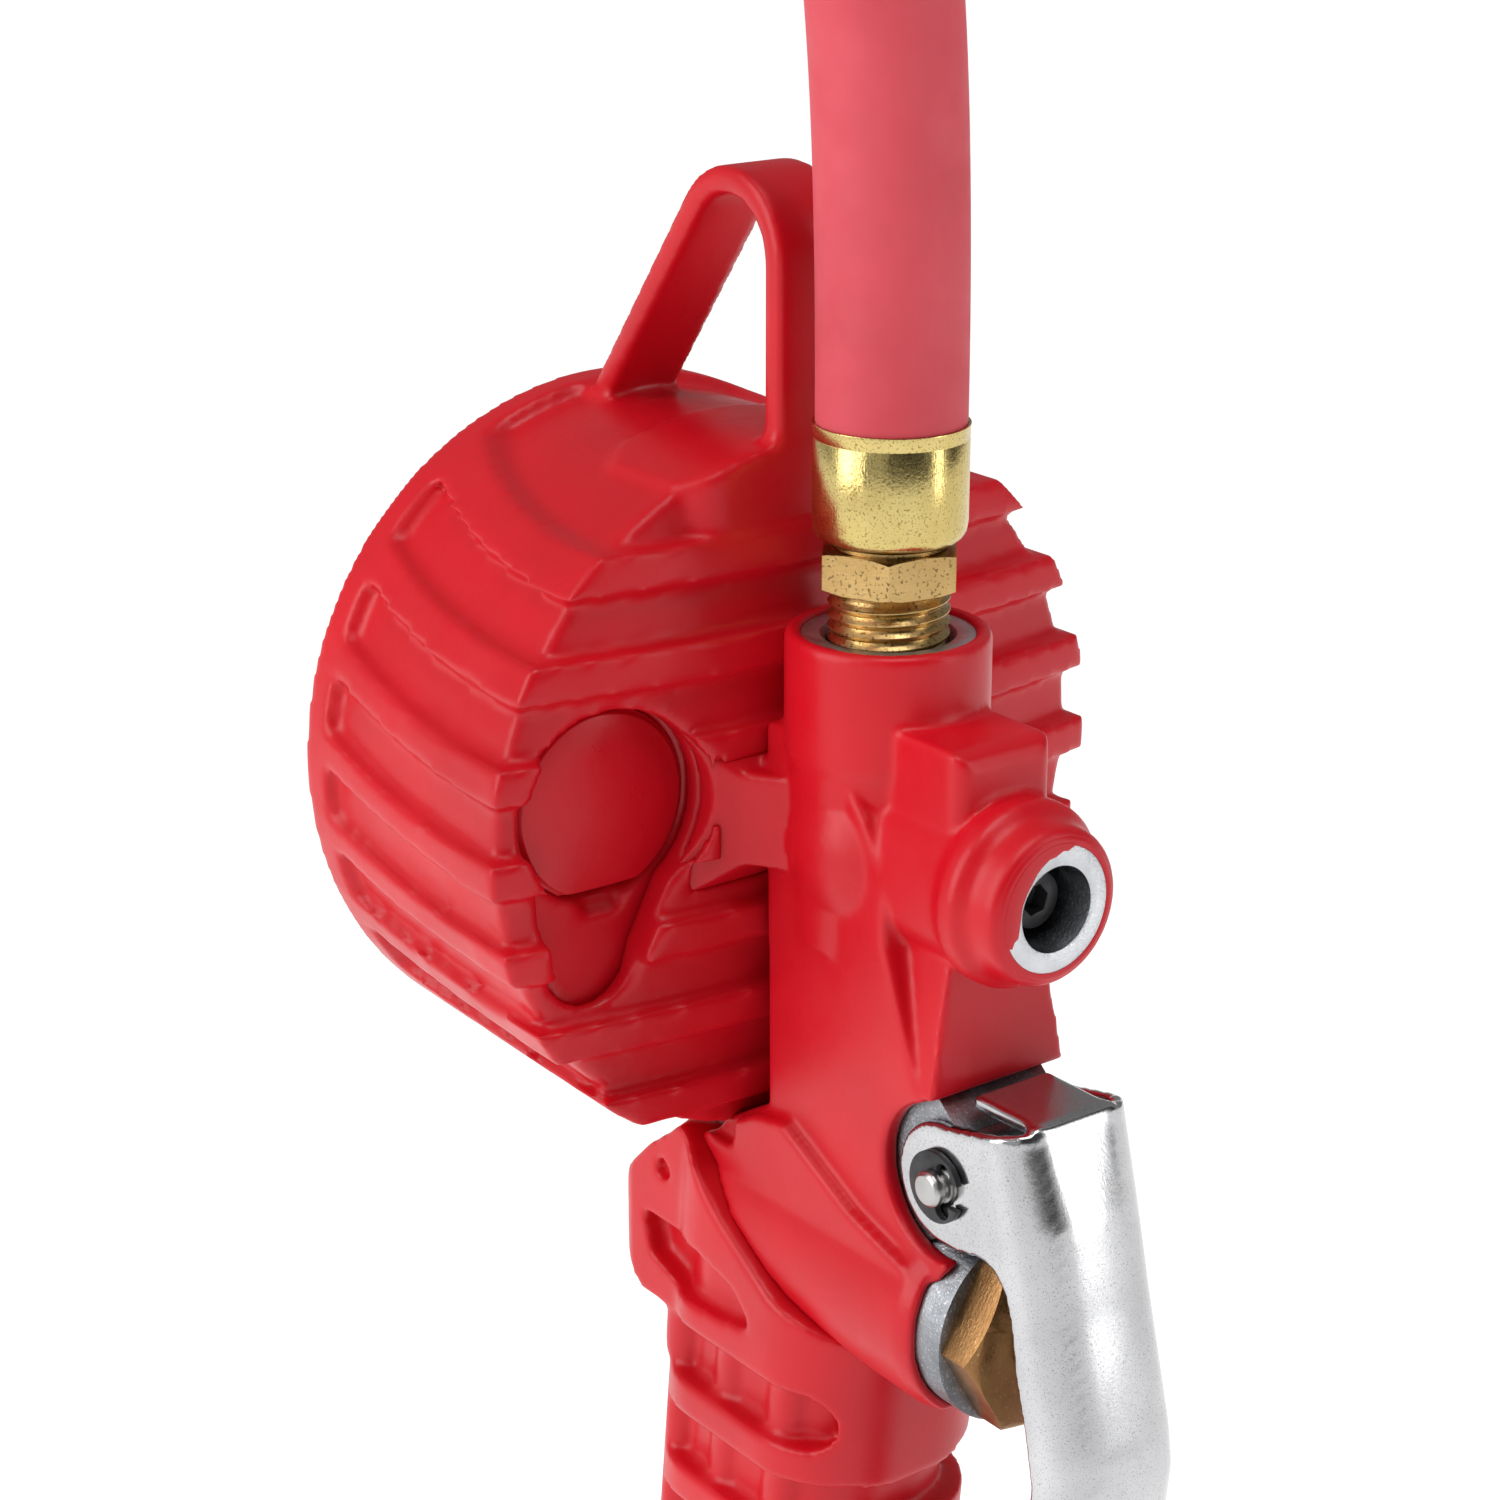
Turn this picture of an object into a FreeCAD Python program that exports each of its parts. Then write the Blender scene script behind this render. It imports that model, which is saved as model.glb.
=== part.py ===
"""Pistol-grip tyre inflator gun with a booted digital gauge, squeeze lever and hose.

Everything is drawn about the hose port: its rim is the datum, +Z runs up the hose,
+Y points to the squeeze lever and -Y to the gauge's face. Each finished piece is
then moved so that the frame's origin is where the hanging loop rests on its hook.
"""
import FreeCAD, Part
import math
import os

os.makedirs("parts", exist_ok=True)
V = FreeCAD.Vector
UP = V(0, 0, 1)
FORWARD = V(0, 1, 0)
SIDE = V(1, 0, 0)

# ---------------------------------------------------------------- driving sizes, mm
fit_gap = 0.02            # assembled pieces of one body, per side
running_gap = 0.05        # round running fits, radial
soft_gap = 0.3            # between pieces of different bodies

# body
wall = 1.75               # red jacket over the casting
port_r = 9.35             # bare metal ring round the hose thread
port_rim_rise = 0.6       # jacket stands above the metal ring
port_thread_r = 6.58      # 1/4 in pipe thread, outside
port_thread_depth = 11.0
port_mouth_r = 7.3
port_mouth_depth = 0.7
port_cyl_bottom = -13.5
port_core_bottom = -30.0  # the casting's round core ends inside the column
column_half_x = 9.5
column_back = -9.2
column_front = 11.0
block_half_x = 6.5
block_front = 19.7
block_top = -7.3
block_corner_r = 1.9
passage_r = 2.6           # air passage up the column

# boss round the gauge bolt
boss_z = -22.8
boss_front = 27.65
boss_ring_r = 6.9         # bare metal ring
boss_jacket_r = 8.6
collar_r = 10.3
collar_front = 24.0
collar_width = 4.5
barrel_r = 9.5
bolt_recess_r = 4.7
bolt_recess_depth = 7.6
bolt_shank_r = 2.5
bolt_head_r = 3.1
bolt_head_h = 3.6
bolt_key_af = 3.0

# hood between the boss and the lever
hood_top = -30.0
hood_bottom = -45.2
hood_top_half_x = 6.5
hood_bottom_half_x = 9.4
hood_top_front = 18.8
hood_bottom_front = 19.6

# neck that carries the gauge
neck_top = -10.6
neck_bottom = -31.0
neck_half_x = 19.2
neck_end = -13.6
neck_waist_half_x = 13.1  # where the flare meets the arm
neck_waist_y = -9.0
neck_arm_top = -15.7
neck_arm_bottom = -26.5
neck_casting_half_x = 8.0

# gauge boot
boot_z = -22.0
boot_back_edge_r = 40.2
boot_back_edge_y = -15.4
boot_crown = 4.4          # the back bulges this far beyond its edge
boot_front_r = 39.4
boot_front_y = -54.5
boot_wall = 2.4
boot_lip_r = 35.0
boot_lip_depth = 2.2
boot_border_width = 4.5
rib_rise = 1.7
rib_height = 4.2
rib_pitch = 10.4
rib_count = 7
rib_first_top = 31.6      # top edge of the highest rib, above the boot's axis
rib_sweep = 6.5           # each rib climbs this far towards the front border
window_r = 11.2           # battery window
window_x = 26.4
window_z = 3.5            # above the boot's axis
window_tail_r = 5.2
window_tail_x = 29.2
window_tail_z = -13.6

# hanging loop
loop_half_x = 5.0
loop_thick = 3.0
loop_top = 47.0
loop_foot = 15.0
loop_crown_r = 9.5
loop_crown_y = -22.3
loop_front_slope = 37.0   # degrees the front leg leans from upright
pad_half_x = 16.5
pad_back = -12.6
pad_front = -31.0
pad_top = 17.6            # the saddle under the loop, at the boot's middle
pad_corner_r = 5.0

# gauge
gauge_clearance = 0.1
housing_wall = 1.6
bezel_depth = 5.0
lens_r = 27.0
lens_thick = 1.5
lcd_half_x = 19.0
lcd_half_z = 11.0
lcd_rise = 4.0            # LCD centre above the gauge axis
lcd_thick = 2.0
board_rim_gap = 6.1       # from the housing's inside
board_thick = 1.2
board_gap = 6.0           # from the lens to the board
button_r = 3.2
button_spread = 14.0
button_drop = 20.5         # below the gauge axis
cell_r = 10.0             # coin cell, 20 mm
cell_thick = 3.2
door_r = 10.8
door_thick = 1.6
sensor_r = 6.0
sensor_length = 9.0

# lever
pin_y = 20.8
pin_z = -54.2
pin_r = 2.0
pin_half_length = 11.1
clip_r = 4.0
clip_thick = 0.8
ear_r = 6.8
lever_half_x = 9.0
lever_sheet = 1.5
lever_corner_r = 4.8
lever_top = -44.5
lever_cheek_front = 31.0  # the side plates' top edge climbs to here
lever_cheek_top = -45.1
lever_flap_half_x = 5.2
lever_flap_back = 21.5
ear_tip_y = 22.3          # the jacket's tip under the ear
ear_tip_z = -63.6
lug_half_x = 7.2
lug_r = 5.6
ear_pocket_r = 8.9        # jacket keeps this far from the pin

# valve
valve_z = -72.3
flange_r = 11.3
flange_front = 23.9       # bare end of the casting's barrel
barrel_front = 20.2       # the jacket stops short of it
flange_jacket_r = 12.9
housing_back = -22.0
valve_hex_af = 19.0
valve_hex_h = 4.6
valve_shank_r = 7.0
valve_shank_length = 11.6
stem_r = 1.97
stem_tip = 34.9
stem_head_r = 4.2
stem_head_h = 1.6
seat_seal_thick = 2.0
chamber_r = 6.2
chamber_back = -5.0
spring_coil_r = 2.7
spring_wire_r = 0.4
spring_turns = 6

# handle and grip sleeve, leaning back with its length along the lean
lean = 6.1                # degrees
handle_y = -9.5
handle_z = -72.3
handle_length = 100.0
grip_half_x = 14.5
grip_back = -17.2
grip_front = 19.5
grip_corner_r = 12.0
grip_wall = 5.6
grip_bottom = 96.0
slot_depth = 2.8
slot_pitch = 12.0
slot_height = 7.4
slot_count = 6
slot_first_top = -87.2
slot_end_y = 1.5
flute_r = 3.2
inlet_bore_r = 5.65       # 1/4 in pipe thread, tapped hole
inlet_bore_depth = 11.0
strainer_r = 4.8
strainer_depth = 5.0
inlet_hex_af = 19.0
inlet_hex_h = 12.0
inlet_shank_length = 10.0
inlet_gasket_thick = 1.0

# hose
hose_r = 8.0
insert_hex_af = 14.0
insert_hex_z = 5.4
insert_hex_h = 4.4
barb_r = 4.6
insert_bore_r = 3.2
ferrule_r = 8.25
ferrule_wall = 0.5
ferrule_z = 10.4
ferrule_length = 12.6
# the hose's route, chosen by hand: out of the ferrule, over, and down to the chuck
hose_route = [
    (0.0, 0.0, 23.0),
    (0.0, 0.0, 53.0),
    (4.4, -0.3, 88.7),
    (23.5, -1.2, 126.0),
    (58.5, -2.6, 152.6),
    (102.0, -3.8, 160.4),
    (144.0, -4.4, 148.2),
    (177.0, -4.4, 118.8),
    (194.0, -3.8, 80.4),
    (199.0, -3.0, 44.8),
    (200.0, -2.6, 16.8),
]

# tyre chuck at the hose's end
chuck_r = 7.5
chuck_length = 30.0
chuck_nose_r = 8.5
chuck_nose_length = 14.0
valve_socket_r = 4.0
valve_socket_depth = 12.0
chuck_seal_thick = 3.0
chuck_clip_pin_r = 1.5
chuck_clip_half_x = 3.5
chuck_pivot_out = 10.5    # pivot pin, out from the chuck's axis
chuck_pivot_down = 10.0   # and down from its top
chuck_clip_nose_half = 2.0
chuck_seal_r = 4.6

# the frame's origin: inside top of the hanging loop
hang_y = loop_crown_y
hang_z = loop_top - loop_thick


# ---------------------------------------------------------------- shape helpers
def rod(r, length, base, direction=UP):
    return Part.makeCylinder(r, length, base, direction)


def block(x0, x1, y0, y1, z0, z1):
    return Part.makeBox(x1 - x0, y1 - y0, z1 - z0, V(x0, y0, z0))


def side_plate(points, x0, x1):
    """A plate whose outline is drawn in the Y-Z plane, from x0 to x1."""
    outline = [V(x0, y, z) for y, z in points]
    face = Part.Face(Part.makePolygon(outline + outline[:1]))
    return face.extrude(V(x1 - x0, 0, 0))


def turned(profile, base, direction=UP):
    """A turned piece: (radius, height) outline spun round its axis."""
    outline = [V(r, 0, h) for r, h in profile]
    face = Part.Face(Part.makePolygon(outline + outline[:1]))
    solid = face.revolve(V(0, 0, 0), UP, 360)
    solid.Placement = FreeCAD.Placement(base, FreeCAD.Rotation(UP, direction))
    return solid


def hex_bar(across_flats, length, base, direction=UP, turn=0.0):
    corner = across_flats / math.sqrt(3)
    angles = [math.radians(60 * k + turn) for k in range(6)]
    outline = [V(corner * math.cos(a), corner * math.sin(a), 0) for a in angles]
    solid = Part.Face(Part.makePolygon(outline + outline[:1])).extrude(V(0, 0, length))
    solid.Placement = FreeCAD.Placement(base, FreeCAD.Rotation(UP, direction))
    return solid


def chamfered_hex(across_flats, length, base, direction=UP, turn=0.0):
    """A hexagon whose corners are turned off at its outer face."""
    corner = across_flats / math.sqrt(3)
    fall = (corner - across_flats / 2) * 0.6
    cap = turned([(0, -1), (corner + 1, -1), (corner + 1, length - fall - 0.6),
                  (across_flats / 2, length), (0, length)], base, direction)
    return hex_bar(across_flats, length, base, direction, turn).common(cap)


def ring(outer, inner, length, base, direction=UP):
    return rod(outer, length, base, direction).cut(rod(inner, length, base, direction))


def rounded_bar(half_x, y0, y1, z0, z1, corner_r):
    bar = block(-half_x, half_x, y0, y1, z0, z1)
    upright = [e for e in bar.Edges if abs(e.Vertexes[0].Z - e.Vertexes[1].Z) > 1]
    return bar.makeFillet(corner_r, upright)


def frustum(low, high):
    """A four-sided taper between two level rectangles (x, y0, y1, z)."""
    wires = []
    for half_x, y0, y1, z in (low, high):
        corners = [V(-half_x, y0, z), V(half_x, y0, z), V(half_x, y1, z), V(-half_x, y1, z)]
        wires.append(Part.makePolygon(corners + corners[:1]))
    return Part.makeLoft(wires, True, True)


def neck_taper(far, near):
    """A four-sided taper along Y between two upright rectangles (x, y, z0, z1)."""
    wires = []
    for half_x, y, z0, z1 in (far, near):
        corners = [V(-half_x, y, z0), V(half_x, y, z0), V(half_x, y, z1), V(-half_x, y, z1)]
        wires.append(Part.makePolygon(corners + corners[:1]))
    return Part.makeLoft(wires, True, True)


def fuse(first, *others):
    return first.multiFuse(list(others)).removeSplitter()


def cut(shape, *tools):
    return shape.cut(list(tools))


def leaned(shape):
    """Moves a piece drawn down the Z axis onto the handle's leaning axis."""
    shape = shape.copy()
    turn = FreeCAD.Rotation(SIDE, -lean)
    shape.Placement = FreeCAD.Placement(V(0, handle_y, handle_z), turn).multiply(shape.Placement)
    return shape


def save(name, shape):
    """Writes one piece, moved into the frame."""
    piece = shape.copy()
    piece.translate(V(0, -hang_y, -hang_z))
    solids = piece.Solids
    if not solids or not piece.isValid():
        raise RuntimeError(name + " is not a sound solid")
    if len(solids) == 1:
        piece = solids[0]
    piece.exportStep("parts/" + name + ".step")
    print(f"{name}: {len(solids)} solid(s), {piece.Volume:.0f} mm3")


# ---------------------------------------------------------------- the gauge bolt's line
bolt_seat_y = boss_front - bolt_recess_depth
gauge_back_y = neck_end - fit_gap


def bolt_run(r, start_y, end_y):
    return rod(r, end_y - start_y, V(0, start_y, boss_z), FORWARD)


# ---------------------------------------------------------------- body casting
# the slanted line where the grip sleeve starts, as (y, z)
sleeve_edge = [(-46, -44), (-19.3, -63.4), (-11.4, -70.3), (-1.6, -76.4), (9.2, -80.4), (17, -82.2),
               (30, -84), (60, -86)]


def above_sleeve_edge():
    """Everything above the slanted line where the grip sleeve starts."""
    return side_plate(sleeve_edge + [(60, 20), (-60, 20), (-60, -44)], -40, 40)


def casting():
    port = rod(port_r, -port_core_bottom, V(0, 0, port_core_bottom))
    lump = block(-block_half_x + wall, block_half_x - wall, 0, block_front - wall,
                 boss_z, block_top - wall)
    boss = bolt_run(boss_ring_r, 0, boss_front)
    column = block(-column_half_x + wall, column_half_x - wall, column_back + wall,
                   column_front - wall, valve_z, boss_z)
    neck = block(-neck_casting_half_x, neck_casting_half_x, neck_end, 0,
                 neck_arm_bottom + wall, neck_arm_top - wall)
    barrel = rod(flange_r, flange_front - housing_back, V(0, housing_back, valve_z), FORWARD)
    lug = side_plate([(0, hood_bottom + 0.2), (17.5, hood_bottom + 0.2), (pin_y + 1, pin_z + lug_r),
                      (pin_y + 1, pin_z - lug_r), (12, valve_z + 6), (0, valve_z)],
                     -lug_half_x, lug_half_x)
    lug_round = rod(lug_r, 2 * lug_half_x, V(-lug_half_x, pin_y, pin_z), SIDE)
    handle = leaned(rounded_bar(grip_half_x - grip_wall, grip_back + grip_wall,
                                grip_front - grip_wall, -handle_length, 0,
                                grip_corner_r - grip_wall + 1.5))
    body = fuse(port, lump, boss, column, neck, barrel, lug, lug_round, handle)
    foot = V(0, 0, -handle_length)
    return cut(
        body,
        rod(port_thread_r + fit_gap, port_thread_depth, V(0, 0, -port_thread_depth)),
        turned([(0, -port_mouth_depth), (port_thread_r, -port_mouth_depth), (port_mouth_r, 0),
                (port_mouth_r, 1), (0, 1)], V(0, 0, 0)),
        rod(passage_r, -valve_z - port_thread_depth, V(0, 0, valve_z)),
        bolt_run(bolt_recess_r, bolt_seat_y, boss_front + 1),
        bolt_run(bolt_shank_r + running_gap, neck_end - 1, bolt_seat_y),
        rod(pin_r + running_gap / 2, 2 * lug_half_x + 2, V(-lug_half_x - 1, pin_y, pin_z), SIDE),
        rod(valve_shank_r + fit_gap, valve_shank_length + fit_gap,
            V(0, flange_front - valve_shank_length - fit_gap, valve_z), FORWARD),
        rod(chamber_r, flange_front - chamber_back, V(0, chamber_back, valve_z), FORWARD),
        leaned(rod(inlet_bore_r - 1.5, handle_length, foot)),
        leaned(rod(port_thread_r + fit_gap, inlet_shank_length + 1, foot)),
    )


# ---------------------------------------------------------------- red jacket
def jacket(body):
    port = turned([(0, -34), (port_r + wall - 1, -34), (port_r + wall - 0.4, port_cyl_bottom),
                   (port_r + wall, port_cyl_bottom + 1), (port_r + wall, port_rim_rise - 0.5),
                   (port_r + wall - 0.5, port_rim_rise), (port_r, port_rim_rise), (port_r, 0),
                   (0, 0)], V(0, 0, 0))
    lump = rounded_bar(block_half_x, -2 * block_corner_r, block_front, boss_z, block_top, block_corner_r)
    ease = block_corner_r
    lump = lump.common(side_plate([(0, boss_z), (0, block_top), (block_front - ease, block_top),
                                   (block_front - 0.3 * ease, block_top - 0.3 * ease),
                                   (block_front, block_top - ease), (block_front, boss_z)],
                                  -block_half_x - 1, block_half_x + 1))
    boss = fuse(bolt_run(barrel_r, 0, collar_front - collar_width + 1),
                turned([(0, 0), (collar_r - 0.8, 0), (collar_r, 1.0), (collar_r, collar_width - 1.2),
                        (collar_r - 1.2, collar_width), (0, collar_width)],
                       V(0, collar_front - collar_width, boss_z), FORWARD),
                turned([(0, 0), (boss_jacket_r + 0.4, 0), (boss_jacket_r, boss_front - collar_front - 0.7),
                        (boss_jacket_r - 0.7, boss_front - collar_front), (0, boss_front - collar_front)],
                       V(0, collar_front, boss_z), FORWARD))
    bulge = Part.makeSphere(port_r + wall + 0.6, V(0, 1.5, boss_z))
    column = side_plate([(column_back, neck_top), (2.0, neck_top), (8.0, neck_top - 6.5),
                         (column_front, boss_z), (column_front + 0.5, hood_top),
                         (17.5, hood_bottom), (ear_tip_y, pin_z), (ear_tip_y, ear_tip_z),
                         (20.4, -67), (barrel_front - 0.3, valve_z), (10, -84), (-12, -80),
                         (-22, -70), (-17, -61), (column_back + 0.6, -56)],
                        -column_half_x, column_half_x)
    shoulder = side_plate([(-4, -56), (8, -62), (18, -65), (18, valve_z), (-10, -84), (-24, -70),
                           (-18, -62), (-9, -57)], -flange_jacket_r + 1.6, flange_jacket_r - 1.6)
    barrel = turned([(0, 0), (flange_jacket_r - 1.5, 0), (flange_jacket_r, 2), (flange_jacket_r, 40),
                     (flange_jacket_r - 0.5, 41.9), (0, 41.9)],
                    V(0, barrel_front - 41.9, valve_z), FORWARD)
    waist = (neck_waist_half_x, neck_waist_y, neck_arm_bottom, neck_arm_top)
    neck = fuse(neck_taper((neck_half_x, neck_end, neck_bottom, neck_top), waist),
                neck_taper(waist, (column_half_x - 0.2, column_back + 6, neck_arm_bottom, neck_arm_top)))
    under_boot = fuse(shoulder, barrel).cut(crown_profile(rib_rise + soft_gap))
    hood = frustum((hood_bottom_half_x, 5, hood_bottom_front, hood_bottom),
                   (hood_top_half_x, 5, hood_top_front, hood_top))
    outer = fuse(port, lump, boss, bulge, column, under_boot, neck, hood)
    door_path = rod(door_r + soft_gap, -gauge_back_y, V(window_x, gauge_back_y - 1, boot_z + window_z),
                    FORWARD)
    room = [
        body,
        door_path,
        rod(ear_pocket_r, 60, V(-30, pin_y, pin_z), SIDE).cut(
            block(-lug_half_x, lug_half_x, 0, 40, -80, -30)),
        rod(pin_r + soft_gap, 60, V(-30, pin_y, pin_z), SIDE),
        block(-lug_half_x, lug_half_x, column_front + 2.5, 60, -66, hood_bottom),
        rod(port_r, 2, V(0, 0, 0)),
        bolt_run(boss_ring_r, 5, boss_front + 1),
        rod(passage_r, 60, V(0, 0, valve_z)),
        rod(port_thread_r + fit_gap, port_thread_depth, V(0, 0, -port_thread_depth)),
        bolt_run(bolt_shank_r + running_gap, neck_end - 1, boss_front),
        rod(chamber_r, flange_front - chamber_back + 1, V(0, chamber_back, valve_z), FORWARD),
        leaned(rounded_bar(grip_half_x - grip_wall, grip_back + grip_wall,
                           grip_front - grip_wall, -handle_length, 0,
                           grip_corner_r - grip_wall + 1.5)),
    ]
    skin = cut(outer.common(above_sleeve_edge()), *room)
    return max(skin.Solids, key=lambda s: s.Volume)


# ---------------------------------------------------------------- grip sleeve
def grip_bar(inset, top=6.0):
    return leaned(rounded_bar(grip_half_x - inset, grip_back + inset, grip_front - inset,
                              -grip_bottom, top, grip_corner_r - inset * 0.8))


def sleeve(body, skin):
    beak = side_plate([(-16, -58), (-22.4, -63.6), (-27.6, -67.6), (-32.4, -72.4), (-35.0, -76.6),
                       (-35.8, -79.6), (-34.6, -83.0), (-30.4, -86.2), (-26.6, -89.4), (-24.6, -94),
                       (-8, -94), (-8, -60)], -grip_half_x + 1.5, grip_half_x - 1.5)
    beak = beak.common(rounded_bar(grip_half_x - 1.0, -36.6, 12, -110, -50, 8.5))
    outer = fuse(grip_bar(0, 16.0), beak).cut(crown_profile(rib_rise + soft_gap))
    # side slots with a fluted floor
    flutes = []
    for y in (-11.5, -1.5, 8.5):
        for side in (-1, 1):
            x = side * (grip_half_x - slot_depth - flute_r + 1.1)
            flutes.append(leaned(rod(flute_r, grip_bottom + 12, V(x, y, -grip_bottom))))
    core = fuse(grip_bar(slot_depth, 16.0), *flutes)
    slots = []
    for k in range(slot_count):
        top = slot_first_top - k * slot_pitch
        if k % 2 == 0:
            end_y = slot_end_y
        else:
            end_y = slot_end_y + 3.0
        slots.append(block(-30, 30, -60, end_y, top - slot_height, top))
        slots.append(rod(slot_height / 2, 60, V(-30, end_y, top - slot_height / 2), SIDE))
    slots = fuse(slots[0], *slots[1:]).cut(core)
    top_slot = side_plate([(-28.5, -76.5), (-16, -76.5), (-9.2, -78.2), (-5.5, -82), (-12, -83.2),
                           (-20, -83.8), (-27, -81.5)], -30, 30)
    top_core = grip_bar(slot_depth - 0.6, 20.0)
    top_keep = block(-grip_half_x + slot_depth + 1.6, grip_half_x - slot_depth - 1.6,
                     -60, 0, -95, -60)
    top_slot = top_slot.cut(fuse(top_core, top_keep))
    below_edge = cut(block(-40, 40, -60, 60, -260, 20), above_sleeve_edge())
    dimple = rod(1.3, 60, V(-30, -24.4, -69.6), SIDE).cut(
        block(-grip_half_x + 3.2, grip_half_x - 3.2, -40, 0, -80, -60))
    grip = cut(outer.common(below_edge), body, skin, slots, top_slot, dimple,
               rod(flange_r + wall + soft_gap, 40, V(0, barrel_front - 1.5, valve_z), FORWARD),
               leaned(rod(port_thread_r, handle_length, V(0, 0, -handle_length))),
               rod(chamber_r, flange_front - chamber_back + 1, V(0, chamber_back, valve_z), FORWARD))
    return max(grip.Solids, key=lambda s: s.Volume)


# ---------------------------------------------------------------- gauge boot
def crown_profile(grow):
    """Half outline of the boot: crowned back, slightly flared side."""
    edge = V(boot_back_edge_r + grow, boot_back_edge_y + grow, 0)
    middle = V(0, boot_back_edge_y + boot_crown + grow, 0)
    r_mid = (boot_back_edge_r + grow) * 0.5
    mid = V(r_mid, boot_back_edge_y + grow + boot_crown * 0.76, 0)
    front = V(boot_front_r + grow, boot_front_y, 0)
    centre = V(0, boot_front_y, 0)
    edges = [Part.Arc(middle, mid, edge).toShape(), Part.makeLine(edge, front),
             Part.makeLine(front, centre), Part.makeLine(centre, middle)]
    solid = Part.Face(Part.Wire(edges)).revolve(V(0, 0, 0), FORWARD, 360)
    solid.translate(V(0, 0, boot_z))
    return solid


def rib_band(top):
    """One rib's level band across the back, climbing along the side to the border."""
    back = 5.0
    edge = boot_back_edge_y
    front = boot_front_y
    low = top - rib_height

    def climb(z):
        middle = V(0, (edge + front) / 2, z + rib_sweep / 4)
        return Part.Arc(V(0, edge, z), middle, V(0, front, z + rib_sweep)).toShape()
    edges = [Part.makeLine(V(0, back, top), V(0, edge, top)), climb(top),
             Part.makeLine(V(0, front, top + rib_sweep), V(0, front, low + rib_sweep)),
             climb(low), Part.makeLine(V(0, edge, low), V(0, back, low)),
             Part.makeLine(V(0, back, low), V(0, back, top))]
    face = Part.Face(Part.Wire(Part.sortEdges(edges)[0]))
    band = face.extrude(V(120, 0, 0))
    band.translate(V(-60, 0, boot_z))
    return band


def loop_outline(grow):
    """The loop's outline in the Y-Z plane, grown inwards by a negative amount."""
    r = loop_crown_r + grow
    crown_z = loop_top - loop_crown_r
    back = V(0, loop_crown_y + r, crown_z)
    top = V(0, loop_crown_y, crown_z + r)
    slope = math.radians(loop_front_slope)
    front = V(0, loop_crown_y - r * math.cos(slope), crown_z + r * math.sin(slope))
    drop = (front.z - loop_foot)
    front_foot = V(0, front.y - drop * math.tan(slope), loop_foot)
    back_foot = V(0, back.y, loop_foot)
    shoulder = V(0, loop_crown_y + r * math.cos(0.8), crown_z + r * math.sin(0.8))
    edges = [Part.makeLine(back_foot, back), Part.Arc(back, shoulder, top).toShape(),
             Part.Arc(top, V(0, loop_crown_y - r * math.sin(0.5), crown_z + r * math.cos(0.5)),
                      front).toShape(),
             Part.makeLine(front, front_foot), Part.makeLine(front_foot, back_foot)]
    return Part.Face(Part.Wire(edges))


def hanging_loop():
    outside = loop_outline(0).extrude(V(2 * loop_half_x, 0, 0))
    inside = loop_outline(-loop_thick).extrude(V(2 * loop_half_x, 0, 0))
    loop = outside.cut(inside)
    loop.translate(V(-loop_half_x, 0, 0))
    return loop


cavity_r = boot_back_edge_r - boot_wall
cavity_back = boot_back_edge_y - boot_wall + 1.6
lip_y = boot_front_y + boot_lip_depth


def window_cutter(gap, y0, y1):
    """Egg-shaped battery window: a disc with a narrower tail below."""
    disc = rod(window_r + gap, y1 - y0, V(window_x, y0, boot_z + window_z), FORWARD)
    tail = rod(window_tail_r + gap, y1 - y0, V(window_tail_x, y0, boot_z + window_tail_z), FORWARD)
    corners = [V(window_x + window_r * 0.84 + gap, y0, boot_z + window_z - 6.4),
               V(window_tail_x + window_tail_r + gap, y0, boot_z + window_tail_z),
               V(window_tail_x - window_tail_r - gap, y0, boot_z + window_tail_z),
               V(window_x - window_r * 0.62 - gap, y0, boot_z + window_z - 8.2)]
    web = Part.Face(Part.makePolygon(corners + corners[:1])).extrude(V(0, y1 - y0, 0))
    return fuse(disc, tail, web)


def boot(body, skin):
    shell = crown_profile(0)
    proud = crown_profile(rib_rise)
    ribs = []
    for k in range(rib_count):
        ribs.append(rib_band(rib_first_top - k * rib_pitch).common(proud))
    border = ring(boot_front_r + rib_rise, boot_front_r - 2, boot_border_width,
                  V(0, boot_front_y, boot_z), FORWARD)
    pad = block(-pad_half_x, pad_half_x, pad_front, pad_back, 8, pad_top + 8)
    pad = pad.makeFillet(pad_corner_r, [e for e in pad.Edges if e.BoundBox.ZLength > 1])
    roof = rod(pad_top - boot_z + 1.2, 60, V(0, -50, boot_z), FORWARD)
    pad = pad.common(roof)
    loop = hanging_loop()
    outer = fuse(shell, border, pad, loop, *ribs)
    cavity = rod(cavity_r, cavity_back - lip_y, V(0, lip_y, boot_z), FORWARD)
    mouth = rod(boot_lip_r, 20, V(0, boot_front_y - 10, boot_z), FORWARD)
    neck_room = block(-neck_casting_half_x, neck_casting_half_x, -30, 0,
                      neck_arm_bottom + wall, neck_arm_top - wall)
    return cut(outer, cavity, mouth, neck_room, body, skin, window_cutter(0, -30, 0),
               bolt_run(bolt_shank_r + 4, -30, 0))


# ---------------------------------------------------------------- gauge
housing_r = cavity_r - gauge_clearance
housing_y0 = lip_y + gauge_clearance + bezel_depth
housing_y1 = cavity_back - gauge_clearance
door_y = housing_y1


def gauge_at(y, x=0.0, z=0.0):
    return V(x, y, boot_z + z)


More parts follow.
